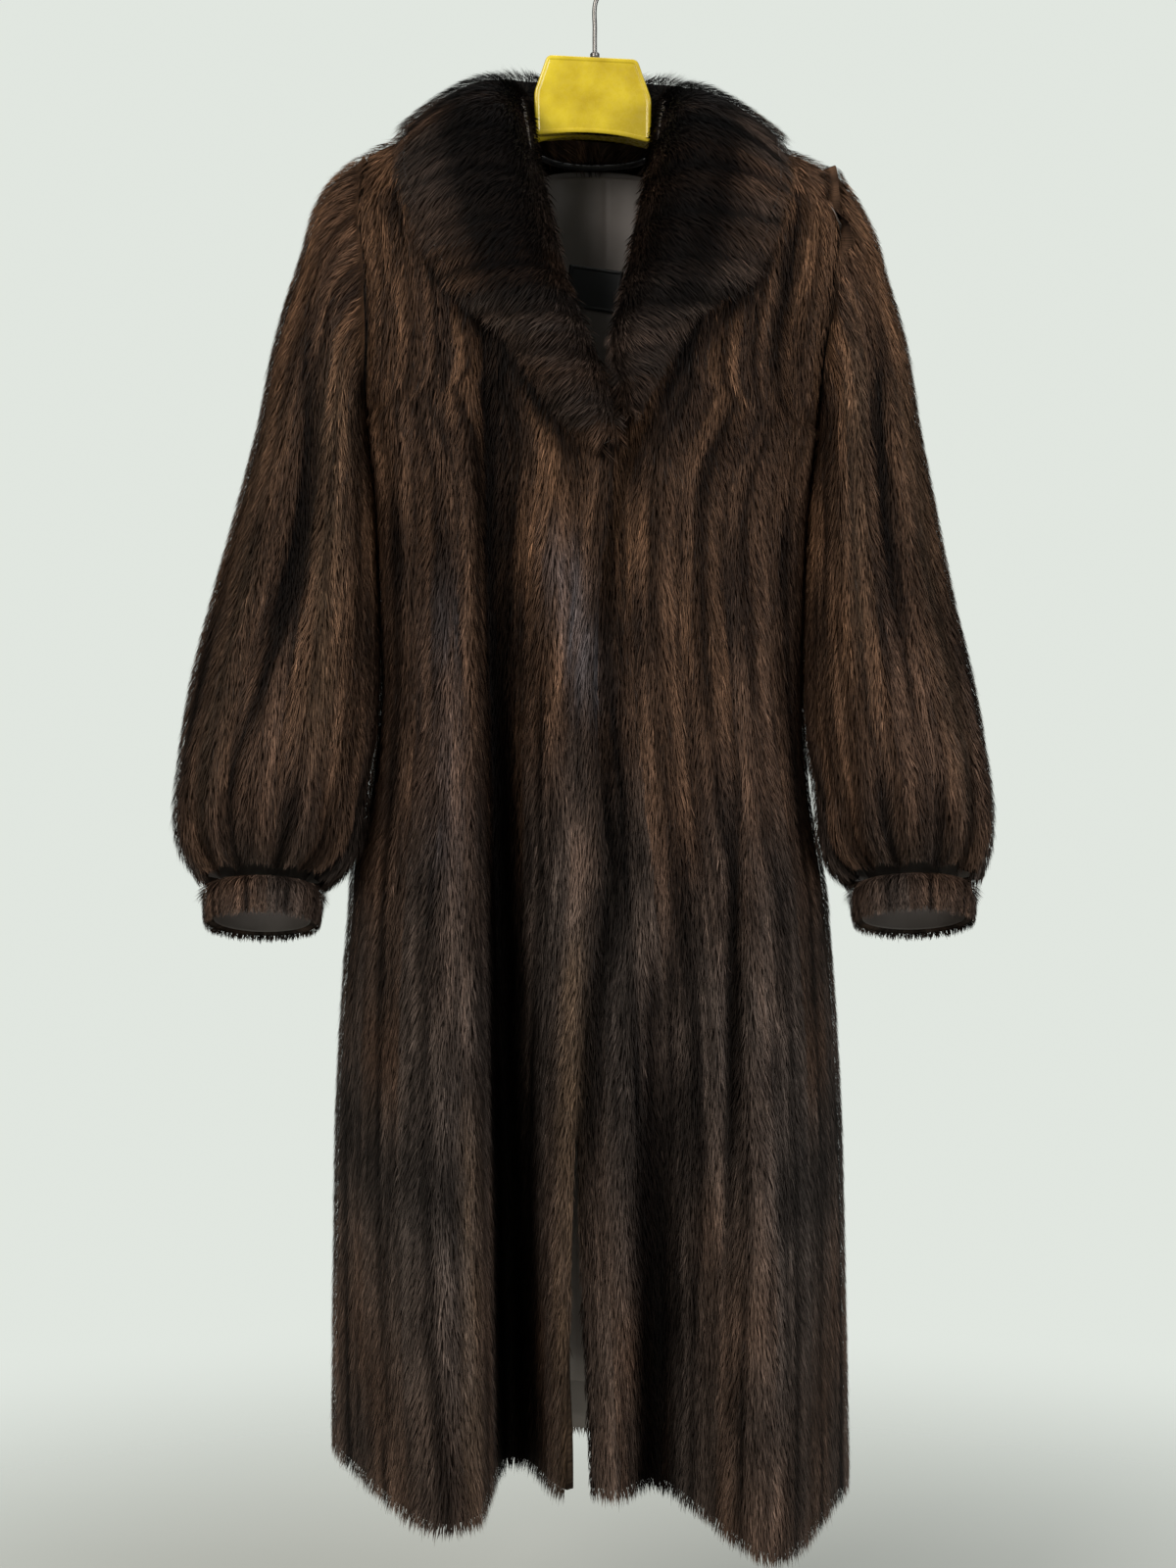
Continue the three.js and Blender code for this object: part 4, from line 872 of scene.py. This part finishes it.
def steelMaterial():
    # Drawn steel wire: grey metal with fine streaks along the wire in its roughness
    nodes, links, shader = newMaterial("drawnSteel")
    place = nodes.new("ShaderNodeTexCoord")
    stretch = nodes.new("ShaderNodeMapping")
    stretch.inputs["Scale"].default_value = (900, 900, 60)
    streak = nodes.new("ShaderNodeTexNoise")
    streak.inputs["Scale"].default_value = 1
    streak.inputs["Detail"].default_value = 4
    gloss = nodes.new("ShaderNodeMapRange")
    gloss.inputs["To Min"].default_value = 0.24
    gloss.inputs["To Max"].default_value = 0.46
    ramp = nodes.new("ShaderNodeValToRGB")
    ramp.color_ramp.elements[0].color = (0.10, 0.092, 0.085, 1)
    ramp.color_ramp.elements[1].color = (0.23, 0.22, 0.205, 1)
    links.new(place.outputs["Object"], stretch.inputs["Vector"])
    links.new(stretch.outputs["Vector"], streak.inputs["Vector"])
    links.new(streak.outputs["Fac"], gloss.inputs["Value"])
    links.new(streak.outputs["Fac"], ramp.inputs["Fac"])
    links.new(ramp.outputs["Color"], shader.inputs["Base Color"])
    links.new(gloss.outputs["Result"], shader.inputs["Roughness"])
    shader.inputs["Metallic"].default_value = 1


hairMaterial()
peltMaterial()
satinMaterial("liningSatin", (0.155, 0.130, 0.115), (0.235, 0.203, 0.182), 900, 0.42)
satinMaterial("blackSatin", (0.004, 0.004, 0.005), (0.012, 0.012, 0.013), 1300, 0.34)
plasticMaterial()
steelMaterial()
threadMaterial()
print("materials made")


# The furred pieces

def everySecond(count):
    return np.unique(np.round(np.linspace(0, count - 1, (count + 1) // 2)).astype(int))


def pelt(name, grid, node, ring=False):
    # The skin under the hair: a wall from the roots to the coat's inner face, which is lined
    keep = everySecond(grid["points"].shape[0])
    across = everySecond(grid["points"].shape[1])
    if ring:
        across = across[:-1]
    take = {key: grid[key][keep][:, across] for key in ("roots", "inside", "points", "strip", "shade", "warmth",
                                                        "along", "run")}
    thing = shellObject(name, take["roots"], take["inside"], ring)
    colour = skinColour(take["strip"], take["points"], take["shade"], take["warmth"])
    colour = 0.8 * paintBands(colour, take["points"], take["strip"], grid["bands"])
    tint = np.concatenate([colour, np.ones(colour.shape[:2] + (1,))], 2).reshape(-1, 4)
    layer = thing.data.attributes.new("tint", "FLOAT_COLOR", "POINT")
    layer.data.foreach_set("color", np.concatenate([tint, tint]).astype(np.float32).ravel())
    corner = np.empty(len(thing.data.loops), np.int32)
    thing.data.loops.foreach_get("vertex_index", corner)
    flatMap = np.stack([take["run"], take["along"]], -1).reshape(-1, 2) * 0.001
    layer = thing.data.uv_layers.new(name="alongHair")
    layer.data.foreach_set("uv", np.concatenate([flatMap, flatMap])[corner].astype(np.float32).ravel())
    thing.data.materials.append(materials["underfur"])
    thing.data.materials.append(materials["liningSatin"])
    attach(thing, "root")
    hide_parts(node)
    return thing


def heightOver(points, normals, passes, ring):
    # How far each point stands above the row's own smoothed line, in mm; hollows are negative
    return np.sum((points - easedRow(points, passes, ring)) * normals, -1)


def easedRow(points, passes, ring):
    # Averages each point with its neighbours across, a quarter from each side, as often as passes says
    q = points.copy()
    for _ in range(passes):
        if ring:
            core = q[:, :-1]
            core = 0.5 * core + 0.25 * (np.roll(core, 1, 1) + np.roll(core, -1, 1))
            q = np.concatenate([core, core[:, :1]], 1)
        else:
            q[:, 1:-1] = 0.5 * q[:, 1:-1] + 0.25 * (q[:, 2:] + q[:, :-2])
    return q


def furGrid(points, out, passes, stripCount, touch, ring=False, lay=None, hollow=(60, 2.2), **more):
    # Gathers what the hair needs at each grid point: place, outward normal, root, lay and skin number.
    # Hollows get painted shade, as deep as exp(height / scale) says, and the heights are warm at the top of the coat.
    normals = normalsOf(points, ring)
    if np.sum(normals * out) < 0:
        normals = -normals
    eased = easedNormals(normals, passes, ring)
    step = np.linalg.norm(np.diff(points, axis=1), axis=2)
    run = np.concatenate([np.zeros((len(points), 1)), np.cumsum(step, 1)], 1)
    along = np.concatenate([[0], np.cumsum(np.linalg.norm(np.diff(points, axis=0), axis=2).mean(1))])
    height = heightOver(points, normals, hollow[0], ring)
    # Painted shade: darker in hollows, a little lighter on ridges
    shade = np.clip(np.exp(height / hollow[1]), 0.07, 1.28)
    depth = mix(fur["rootDepth"], fur["thinDepth"], touch)[..., None]
    fromEnd = along[-1 if more.get("endsLow") else 0] - along
    nearEnd = (1 - smoothStep(np.abs(fromEnd), 4, 26))[:, None]
    endShort = more.pop("endShort", 0.45)
    grid = {
        "points": points,
        "normals": normals,
        "roots": points - eased * depth,
        "inside": points - eased * fur["linedDepth"],
        "lay": layDown(points, normals) if lay is None else lay,
        "strip": run / run[:, -1:] * stripCount,
        "run": run,
        "along": np.repeat(along[:, None], points.shape[1], 1),
        "weight": 1 + 0.8 * nearEnd + 0 * touch,
        "shade": shade,
        "warmth": mix(0.78, 0.30, smoothStep(-points[..., 2], 480, 900)),
        "short": mix(1, 0.62, touch) * (1 - endShort * nearEnd),
        "scale": 1.0,
        "broad": 1.0,
        "hand": 1.0,
        "bands": (),
    }
    grid.update(more)
    return grid


panelSize = {"rows": 190, "columns": 130, "inset": 1.6, "endShort": 0.15}
hairCount = {"back": 68000, "front": 84000, "sleeve": 56000, "cuff": 5000, "collar": 38000}
# Bands of tone: name, place across at the top and the bottom, height at the top and the
# bottom, half width, tone and amount
# Painted light among them: the dark pleat and the dark valleys are painted shade, the lapel bands painted shadow, the
# amber lip of the flute a painted highlight and the sheen bands painted sheen. The dark skin lines and the amber edge
# of the left front are the fur's own colour.
frontBands = [
    ("dark pleat", -90, -72, -330, -1380, 6, "black", 0.62),
    ("shadow of the left lapel, upper", -150, -78, -262, -372, 14, "black", 1),
    ("shadow of the left lapel, lower", -78, -20, -348, -452, 13, "black", 1),
    ("shadow of the right lapel, upper", 152, 92, -272, -358, 14, "black", 1),
    ("shadow of the right lapel, lower", 92, 42, -330, -432, 12, "black", 1),
    ("dark skin line, outer", -171, -168, -215, -560, 4, "black", 0.6),
    ("dark skin line, inner", -127, -125, -330, -640, 4, "black", 0.55),
    ("amber edge of the left front", -17, -30, -860, -1330, 9, "amber", 0.42),
    ("amber lip of the left flute", -104, -99, -1010, -1330, 8, "amber", 0.36),
    ("sheen under the lapel", -30, -6, -520, -650, 16, "sheen", 0.32),
    ("sheen at the waist", -128, -124, -560, -800, 20, "sheen", 0.10),
    ("dark valley, right shoulder", 172, 150, -240, -385, 7, "black", 0.85),
    ("dark valley, right waist", 122, 117, -700, -1000, 6, "black", 0.7),
    ("dark valley, right hem", 45, 47, -880, -1380, 7, "black", 0.9),
]

# Painted light: the black valleys are painted shade, and the amber warm and outer rolls are painted highlights on the
# lit middles of the rolls.
sleeveBands = [
    ("left valley, upper", -241, -247, -330, -560, 6, "black", 0.9),
    ("left valley, lower", -243, -314, -540, -760, 6, "black", 0.9),
    ("left warm roll", -216, -232, -360, -700, 15, "amber", 0.22),
    ("left outer roll", -272, -330, -400, -760, 14, "amber", 0.14),
    ("right valley", 241, 250, -340, -560, 6, "black", 0.9),
    ("right warm roll", 220, 226, -330, -620, 10, "amber", 0.2),
    ("right outer roll", 262, 312, -380, -740, 13, "amber", 0.16),
]

frontLeft = frontGrid("left", panelSize["rows"], panelSize["columns"], panelSize["inset"])
frontRight = frontGrid("right", panelSize["rows"], panelSize["columns"], panelSize["inset"])
backAll = backGrid(panelSize["rows"], 150, panelSize["inset"], backTop)


def outwardY(points, direction):
    # A field that points to the front or the back
    field = np.zeros_like(points)
    field[..., 1] = direction
    return field


def nearSleeve(points):
    # 1 at the body's side where a sleeve hangs against it, fading over 25 mm in from the side; 0.7 along
    # the edge of the armhole above it
    half = np.abs(points[..., 0])
    z = points[..., 2]
    widest = half.max(1, keepdims=True)
    below = smoothStep(half, widest - 25, widest - 6) * smoothStep(-z, 400, 440)
    edge = 0.7 * smoothStep(half, widest - 15, widest - 4) * smoothStep(-z, 195, 225)
    return np.maximum(below, edge) * (1 - smoothStep(-z, 780, 860))


grids = {
    "front_left": furGrid(frontLeft, outwardY(frontLeft, -1), 60, 7, nearSleeve(frontLeft), bands=frontBands,
                          endShort=panelSize["endShort"]),
    "front_right": furGrid(frontRight, outwardY(frontRight, -1), 60, 7, nearSleeve(frontRight), hand=-1,
                           bands=frontBands, endShort=panelSize["endShort"]),
    "back": furGrid(backAll, outwardY(backAll, 1), 60, 13, nearSleeve(backAll), broad=1.2,
                    endShort=panelSize["endShort"]),
}


def sleeveGrid(sleeve):
    # Rings down the sleeve, the last point of each on its first
    angle = np.linspace(0, 2 * np.pi, 121)[None, :]
    at = np.linspace(0.0, 0.995, 150)[:, None]
    points = sleevePoint(sleeve, angle + 0 * at, at + 0 * angle)
    middle = points[:, :-1].mean(1, keepdims=True)
    lay = unit(np.gradient(points, axis=0))
    apart = np.abs((np.degrees(angle) - 180 + 180) % 360 - 180)
    inner = (1 - smoothStep(apart, 28, 62)) * (1 - smoothStep(at, 0.78, 0.9))
    touch = np.maximum(inner, 0.7 * (1 - smoothStep(at, 0, 0.05)))
    return furGrid(points, points - middle, 12, 13, touch, ring=True, lay=lay, hollow=(40, 2.0),
                   endsLow=True, bands=sleeveBands)


def cuffGrid(sleeve):
    # Rings down the cuff, rounded in at the top and bottom
    angle = np.linspace(0, 2 * np.pi, 73)[None, :]
    share = np.linspace(0.0, 0.88, 22)[:, None]
    rounded = 4 * (2 * share - 1) ** 6
    points = cuffPoint(sleeve, angle + 0 * share, cuff["ease"] + rounded + 0 * angle,
                       cuff["gap"] + share * cuff["height"] + 0 * angle)
    middle = points[:, :-1].mean(1, keepdims=True)
    lay = unit(np.gradient(points, axis=0))
    touch = np.zeros(points.shape[:2])
    return furGrid(points, points - middle, 4, 9, touch, ring=True, lay=lay, scale=0.75, endsLow=True)


for side, sleeve in (("left", leftSleeve), ("right", rightSleeve)):
    grids["sleeve_" + side] = sleeveGrid(sleeve)
    grids["cuff_" + side] = cuffGrid(sleeve)


def collarField():
    # The closed sections of the collar; hair grows on the upper side and round both edges
    points, partners = collarGrid(150, 44, 16)
    points = np.concatenate([points, points[:, :1]], 1)
    partners = np.concatenate([partners, partners[:, :1]], 1)
    normals = normalsOf(points, True)
    middle = points[:, :-1].mean(1, keepdims=True)
    if np.sum(normals * (points - middle)) < 0:
        normals = -normals
    away = partners - points
    apart = np.linalg.norm(away, axis=2, keepdims=True)
    roots = points + away * np.minimum(fur["rootDepth"] / np.maximum(apart, 1e-6), 0.34)
    inside = points + away * np.minimum(11.5 / np.maximum(apart, 1e-6), 0.46)
    want = np.zeros_like(points)
    want[..., 2] = -0.8
    want = want + 0.75 * unit(np.gradient(points, axis=1))
    lay = unit(want - normals * np.sum(want * normals, -1, keepdims=True))
    weight = np.ones(points.shape[:2])
    weight[:, 47:58] = 0
    run = np.cumsum(np.linalg.norm(np.diff(points[:, 20], axis=0), axis=1))
    run = np.concatenate([[0], run])
    strip = np.repeat((run / 42)[:, None], points.shape[1], 1)
    across = np.concatenate([np.linspace(0, 1, 44), np.linspace(1, 0.16, 16), [0]])[None, :]
    # Painted light and shade: the collar's top is dark in its middle, lit towards its outer rim and its inner edge, and
    # lighter low down on the fronts
    low = smoothStep(-points[..., 2], 290, 380)
    rim = np.maximum(smoothStep(across, 0.66, 0.9), 0.6 * (1 - smoothStep(across, 0.06, 0.3)))
    shade = mix(mix(0.09, 1.0, rim), 1.05, 0.8 * low)
    outer = smoothStep(across, 0.72, 0.98)
    along = np.repeat(np.linspace(0, 1000, len(points))[:, None], points.shape[1], 1)
    flatRun = np.concatenate([np.zeros((len(points), 1)),
                              np.cumsum(np.linalg.norm(np.diff(points, axis=1), axis=2), 1)], 1)
    return {"points": points, "normals": normals, "roots": roots, "inside": inside, "lay": lay,
            "strip": strip, "weight": weight, "scale": 1.0, "broad": 1.0, "hand": 1.0, "shade": shade,
            "warmth": np.full(points.shape[:2], 0.42), "short": weight * 0 + 1 + 0.1 * outer, "run": along,
            "along": flatRun, "bands": ()}


grids["collar"] = collarField()
print("surfaces worked out")

for name, grid in grids.items():
    ring = name.startswith(("sleeve", "cuff", "collar"))
    pelt(name + "_pelt", grid, name, ring)
print("pelts made")

for seed, (name, grid) in enumerate(grids.items(), 20):
    growFur(name + "_hair", grid, hairCount[name.split("_")[0]], seed)
    print("hair grown:", name)


# The lining: a satin wall inside the back, with uneven creases down its length

lining = {
    "outer": 13.5,       # mm from the back's surface to the satin's outer face
    "thick": 1.1,        # mm
    "trim": 0.06,        # radians left free at the sides
    "rows": 48,
    "columns": 200,
}
# Creases: place across at the top and at the hem, depth (towards the wearer is positive), half width
liningCreases = [
    (-10, -18, -1.4, 1.7), (10, 13, -1.4, 1.7), (1, -3, 0.5, 6.0), (-34, -30, 1.2, 7.5), (36, 47, 1.3, 8.5),
    (-92, -70, 2.0, 11), (-128, -150, 2.2, 13), (88, 104, 2.2, 12), (141, 160, 1.8, 12), (-60, -48, -0.8, 6),
    (64, 74, -0.8, 6),
]


def liningObject():
    rows, columns = lining["rows"], lining["columns"]
    shoulder = rows // 6
    v = np.linspace(45 / 1068, 1, rows - shoulder)
    start = sideAngle(v) + lining["trim"]
    angles = evenAngles("back", start, np.pi - start, v, columns, False)
    below = bodyPoint("back", angles, np.repeat(v[:, None], columns, 1))
    share = np.linspace(0, 1, shoulder + 1)[1:, None]
    over = mix(1, liningTop(below[-1, :, 0])[None, :], share)
    points = np.concatenate([below, bodyPoint("back", np.repeat(angles[-1:], shoulder, 0), over)])
    normals = normalsOf(points)
    if np.sum(normals[..., 1]) < 0:
        normals = -normals
    normals = easedNormals(normals, 40)
    crease = np.zeros(points.shape[:2])
    for top, hem, depth, half in liningCreases:
        wander = 5 * (valueNoise(points[..., 2] / 150, 0 * points[..., 0] + top, 31) - 0.5)
        x = mix(hem, top, (points[..., 2] + 1345) / 1100) + wander
        strength = 0.5 + valueNoise(points[..., 2] / 210, 0 * points[..., 0] + top + 7, 32)
        crease += depth * strength * np.exp(-((points[..., 0] - x) / half) ** 2)
    outer = points - normals * (lining["outer"] + np.maximum(crease, -1.4))[..., None]
    thing = shellObject("lining_satin", outer, outer - normals * lining["thick"])
    thing.data.materials.append(materials["liningSatin"])
    thing.data.materials.append(materials["liningSatin"])
    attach(thing, "root")
    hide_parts("lining_back")
    return thing


# The label: a blank woven patch with a folded edge, sewn on with small stitches

label = {"x": 0, "z": -287, "width": 49, "height": 38, "tilt": 8, "seat": 15.6, "thick": 0.8,
         "edge": 1.3, "stitch": (1.9, 0.28), "stitchStep": 3.1, "stitchInset": 1.9}


def onLabel(along, up, out):
    # A place on the patch, in the body's frame: turned by the tilt, out towards the wearer
    turn = math.radians(label["tilt"])
    x = label["x"] + along * math.cos(turn) + up * math.sin(turn)
    z = label["z"] - along * math.sin(turn) + up * math.cos(turn)
    return np.stack([x, bodyDepth("back", x, z) - label["seat"] - out, z], -1)


def labelObjects():
    # The edge rises by a little over a folded border: out = thick + 0.25 within the border
    half, tall = label["width"] / 2, label["height"] / 2
    a = np.unique(np.concatenate([np.linspace(-half, half, 30), [-half + 2.9, -half + 3.1, half - 3.1, half - 2.9]]))
    b = np.unique(np.concatenate([np.linspace(-tall, tall, 24), [-tall + 2.9, -tall + 3.1, tall - 3.1, tall - 2.9]]))
    along, up = np.meshgrid(a, b)
    border = np.maximum(np.abs(along) - half, np.abs(up) - tall) > -3
    pucker = 0.12 * np.sin(along * 1.9) * np.exp(-(np.minimum(tall - np.abs(up), 6) / 3) ** 2)
    front = onLabel(along, up, label["thick"] + np.where(border, 0.22, 0) + pucker)
    patch = shellObject("label_patch", front, onLabel(along, up, 0 * along))
    patch.data.materials.append(materials["blackSatin"])
    patch.data.materials.append(materials["blackSatin"])
    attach(patch, "root")
    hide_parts("label")
    # Stitches: a stretched diamond every few millimetres, lying along each edge
    long, thin = label["stitch"]
    inset, step = label["stitchInset"], label["stitchStep"]
    places = []
    for value in np.arange(-half + inset + step / 2, half - inset, step):
        places += [(value, tall - inset, 0), (value, -tall + inset, 0)]
    for value in np.arange(-tall + inset + step / 2, tall - inset, step):
        places += [(half - inset, value, 1), (-half + inset, value, 1)]
    places = np.array(places)
    shape = np.array([[-long / 2, 0, 0], [long / 2, 0, 0], [0, thin, 0], [0, -thin, 0], [0, 0, thin], [0, 0, -thin]])
    turned = places[:, 2:3]
    da = mix(shape[None, :, 0], shape[None, :, 1], turned)
    db = mix(shape[None, :, 1], shape[None, :, 0], turned)
    spots = onLabel(places[:, :1] + da, places[:, 1:2] + db, label["thick"] + 0.3 + shape[None, :, 2])
    faces = np.array([[0, 2, 4], [2, 1, 4], [1, 3, 4], [3, 0, 4], [2, 0, 5], [1, 2, 5], [3, 1, 5], [0, 3, 5]])
    corners = faces[None] + 6 * np.arange(len(places))[:, None, None]
    stitches = joinParts("label_stitches", [(spots.reshape(-1, 3), corners.ravel(), np.full(8 * len(places), 3))],
                         "thread", ())
    return patch, stitches


# The piping: a satin-covered cord round the neck, with the fine ridges of its bias-cut cover

pipingPath = [(-46, 33, -177.4), (-36, 46, -178.3), (-20, 54, -179.4), (0, 57.5, -179.8), (20, 54, -179.8),
              (36, 46, -179.8), (46, 33, -179.4)]


# The hanger: a moulded plate with a raised border and two arms under the shoulders

hanger = {
    "depth": 26,
    # Corners of the plate: place across, height and rounding
    "corners": [(-41, -97.5, 5), (38, -101.5, 5), (50.5, -137, 5), (50, -175, 3.5), (20, -168, 22), (-14, -165.5, 22),
                (-51.5, -168, 3.5), (-52.5, -130.5, 5)],
    # Steps of the edge: how far in from the outline, and how far back from the front face
    "edge": [(4.6, 0.8), (4.1, 0.75), (3.5, 0.1), (2.9, 0), (1.7, 0), (0.9, 0.25), (0.35, 0.8), (0.05, 1.7), (0, 2.6)],
    "armX": [0, 30, 46, 62, 78, 94, 130, 165, 180, 188],
    "armHigh": [14, 14, 15, 20, 25, 27, 28, 29, 26, 16],
    "armDeep": [14, 14, 14, 18, 24, 28, 30, 32, 32, 26],
    "armDrop": [14, 14, 14, 13, 10, 0.3, 0.3, 0.3, 1, 5],
    "armGap": 0.9,
    "armSides": 28,
}


def roundedOutline(corners, count):
    # Each corner becomes a quadratic curve that starts and ends its rounding away along the two sides
    points = np.array([c[:2] for c in corners], float)
    outline = []
    t = np.linspace(0, 1, count)[:, None]
    for i, (x, z, radius) in enumerate(corners):
        here = points[i]
        before, after = points[i - 1] - here, points[(i + 1) % len(points)] - here
        start = here + before / np.linalg.norm(before) * min(radius, 0.48 * np.linalg.norm(before))
        end = here + after / np.linalg.norm(after) * min(radius, 0.48 * np.linalg.norm(after))
        outline.append((1 - t) ** 2 * start + 2 * t * (1 - t) * here + t * t * end)
    return np.concatenate(outline)


def hangerObject():
    outline = roundedOutline(hanger["corners"], 9)
    step = np.roll(outline, -1, 0) - np.roll(outline, 1, 0)
    inward = unit(np.stack([step[:, 1], -step[:, 0]], 1))
    if np.sum(inward * (outline.mean(0) - outline)) < 0:
        inward = -inward
    half = hanger["depth"] / 2
    rings = [(inset, -half + back) for inset, back in hanger["edge"]]
    rings += [(inset, half - back) for inset, back in reversed(hanger["edge"])]
    sections = []
    for inset, y in rings:
        flat = outline + inward * inset
        sections.append(np.stack([flat[:, 0], np.full(len(flat), y), flat[:, 1]], 1))
    plate = loftParts(np.array(sections))
    x = np.linspace(-188, 188, 95)
    value = {name: curveThrough(hanger["armX"], hanger[name], np.abs(x)) for name in ("armHigh", "armDeep", "armDrop")}
    slope = (line(body["shoulderLine"], x + 5) - line(body["shoulderLine"], x - 5)) / 10
    top = line(body["shoulderLine"], x) - body["wall"] * np.hypot(1, slope) - hanger["armGap"] - value["armDrop"]
    turn = np.linspace(0, 2 * np.pi, hanger["armSides"], endpoint=False)[None, :]
    y = value["armDeep"][:, None] / 2 * np.sin(turn)
    z = (top - value["armHigh"] / 2)[:, None] + value["armHigh"][:, None] / 2 * np.cos(turn)
    arms = loftParts(np.stack([x[:, None] + 0 * turn, y, z], -1))
    return joinParts("hanger_moulding", [plate, arms], "mustardPlastic", ["hanger"])


# The hook: a wire bent over the rail, rising from a turned ferrule

hook = {"stemX": 0.8, "bottom": -98.6, "radius": 20, "wire": 2,
        "bend": [-48, -20, 10, 40, 65, 90, 115, 140, 165, 190, 208],
        # Turned ferrule: height above its foot and radius
        "ferrule": [(0, 4.5), (0.5, 4.75), (1.2, 4.75), (1.7, 4.35), (2.2, 4.2), (3.6, 4.0), (4.1, 4.15), (4.8, 4.15),
                    (5.4, 3.8), (6.0, 3.3)]}


def hookObject():
    middle = hook["wire"] - hook["radius"]
    x, low = hook["stemX"], hook["bottom"]
    path = [(x, 0, low), (x, 0, low + 26), (x + 1, 0, middle - hook["radius"] - 9)]
    for angle in np.radians(hook["bend"]):
        path.append((hook["radius"] * math.cos(angle), 0, middle + hook["radius"] * math.sin(angle)))
    wire = tubeParts(smoothPath(path, 110), hook["wire"], 20)
    turn = np.linspace(0, 2 * np.pi, 32, endpoint=False)
    rings = [np.stack([x + r * np.cos(turn), r * np.sin(turn), low + h + 0 * turn], 1) for h, r in hook["ferrule"]]
    return joinParts("hook_wire_and_ferrule", [wire, loftParts(np.array(rings))], "drawnSteel", ["hook"])


satin = liningObject()
patch, stitches = labelObjects()
cord = joinParts("neck_cord", [tubeParts(smoothPath(pipingPath, 90), 2.5, 18)], "blackSatin", ["neck_piping"])
moulding = hangerObject()
wireHook = hookObject()
print("lining, label, piping, hanger and hook made")


# What each piece was cut to: width and length in metres, flat area in square metres, and what it hangs
# from. Sleeves, cuffs and the collar count all round.
cutSizes = {
    "front_left": (0.605, 1.155, 0.44, ["hanger"]),
    "front_right": (0.475, 1.175, 0.37, ["hanger"]),
    "back": (0.750, 1.280, 0.63, ["hanger"]),
    "sleeve_left": (0.625, 0.545, 0.25, ["back", "front_left"]),
    "sleeve_right": (0.625, 0.530, 0.235, ["back", "front_right"]),
    "cuff_left": (0.320, 0.039, 0.0115, ["sleeve_left"]),
    "cuff_right": (0.325, 0.039, 0.0115, ["sleeve_right"]),
    "collar": (0.960, 0.315, 0.24, ["back", "front_left", "front_right"]),
    "lining": (0.640, 1.150, 0.52, ["back"]),
    "label": (0.049, 0.038, 0.00186, ["lining_back"]),
}
for name, (width, length, area, holders) in cutSizes.items():
    if name == "lining":
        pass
    elif name == "label":
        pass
    else:
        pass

# The camera, the floor and the light

stageSettings = {
    "camera": (-0.0052, -2.2, -0.737),
    "lens": 57.3,
    "floorHeight": -1.62,
    "floorReach": 1.9,
    "backdrop": (0.752, 0.795, 0.745),
    "dome": 0.3,
}

cameraData = bpy.data.cameras.new("camera")
cameraData.lens = stageSettings["lens"]
cameraData.sensor_width = 36
camera = bpy.data.objects.new("camera", cameraData)
camera.location = stageSettings["camera"]
camera.rotation_euler = (math.radians(90), 0, 0)
bpy.context.scene.collection.objects.link(camera)
bpy.context.scene.camera = camera

world = bpy.data.worlds.new("softStudio")
world.use_nodes = True
bpy.context.scene.world = world
worldNodes = world.node_tree.nodes
worldLinks = world.node_tree.links
background = worldNodes["Background"]
background.inputs["Color"].default_value = (*stageSettings["backdrop"], 1)
seen = worldNodes.new("ShaderNodeLightPath")
strength = worldNodes.new("ShaderNodeMapRange")
strength.inputs["To Min"].default_value = stageSettings["dome"]
strength.inputs["To Max"].default_value = 1.0
worldLinks.new(seen.outputs["Is Camera Ray"], strength.inputs["Value"])
worldLinks.new(strength.outputs["Result"], background.inputs["Strength"])


def areaLight(name, place, target, size, power, colour=(1, 1, 1)):
    # A square lamp at a place, turned to face a target
    data = bpy.data.lights.new(name, "AREA")
    data.size = size
    data.energy = power
    data.color = colour
    lamp = bpy.data.objects.new(name, data)
    direction = np.array(target, float) - np.array(place, float)
    heading = math.atan2(direction[0], -direction[1])
    pitch = math.atan2(direction[2], math.hypot(direction[0], direction[1]))
    lamp.location = place
    lamp.rotation_euler = (math.radians(90) + pitch, 0, math.pi + heading)
    bpy.context.scene.collection.objects.link(lamp)
    return lamp


areaLight("keyLight", (-1.5, -2.3, 0.9), (0, 0, -0.6), 1.3, 70, (1, 0.97, 0.93))
areaLight("fillLight", (1.9, -2.0, 0.2), (0, 0, -0.7), 1.4, 45, (0.93, 0.96, 1))
areaLight("topLight", (0.2, 0.3, 1.7), (0, 0, -0.3), 1.6, 16)

reach = 1000 * stageSettings["floorReach"]
floor = newObject("floor", np.array([[-reach, -reach, 0], [reach, -reach, 0], [reach, reach, 0], [-reach, reach, 0]])
                  + [0, 0, 1000 * stageSettings["floorHeight"]], [0, 1, 2, 3], [4])
nodes, links, shader = newMaterial("paleFloor")
shader.inputs["Base Color"].default_value = (0.62, 0.62, 0.57, 1)
shader.inputs["Roughness"].default_value = 0.8
place = nodes.new("ShaderNodeTexCoord")
distance = nodes.new("ShaderNodeVectorMath")
distance.operation = "LENGTH"
lower = nodes.new("ShaderNodeVectorMath")
lower.operation = "MULTIPLY"
lower.inputs[1].default_value = (1, 1, 0)
fade = nodes.new("ShaderNodeMapRange")
fade.interpolation_type = "SMOOTHSTEP"
fade.inputs["From Min"].default_value = 0.3
fade.inputs["From Max"].default_value = stageSettings["floorReach"]
fade.inputs["To Min"].default_value = 1
fade.inputs["To Max"].default_value = 0
links.new(place.outputs["Object"], lower.inputs[0])
links.new(lower.outputs["Vector"], distance.inputs[0])
links.new(distance.outputs["Value"], fade.inputs["Value"])
links.new(fade.outputs["Result"], shader.inputs["Alpha"])
floor.data.materials.append(materials["paleFloor"])

bpy.context.scene.view_settings.view_transform = "Standard"
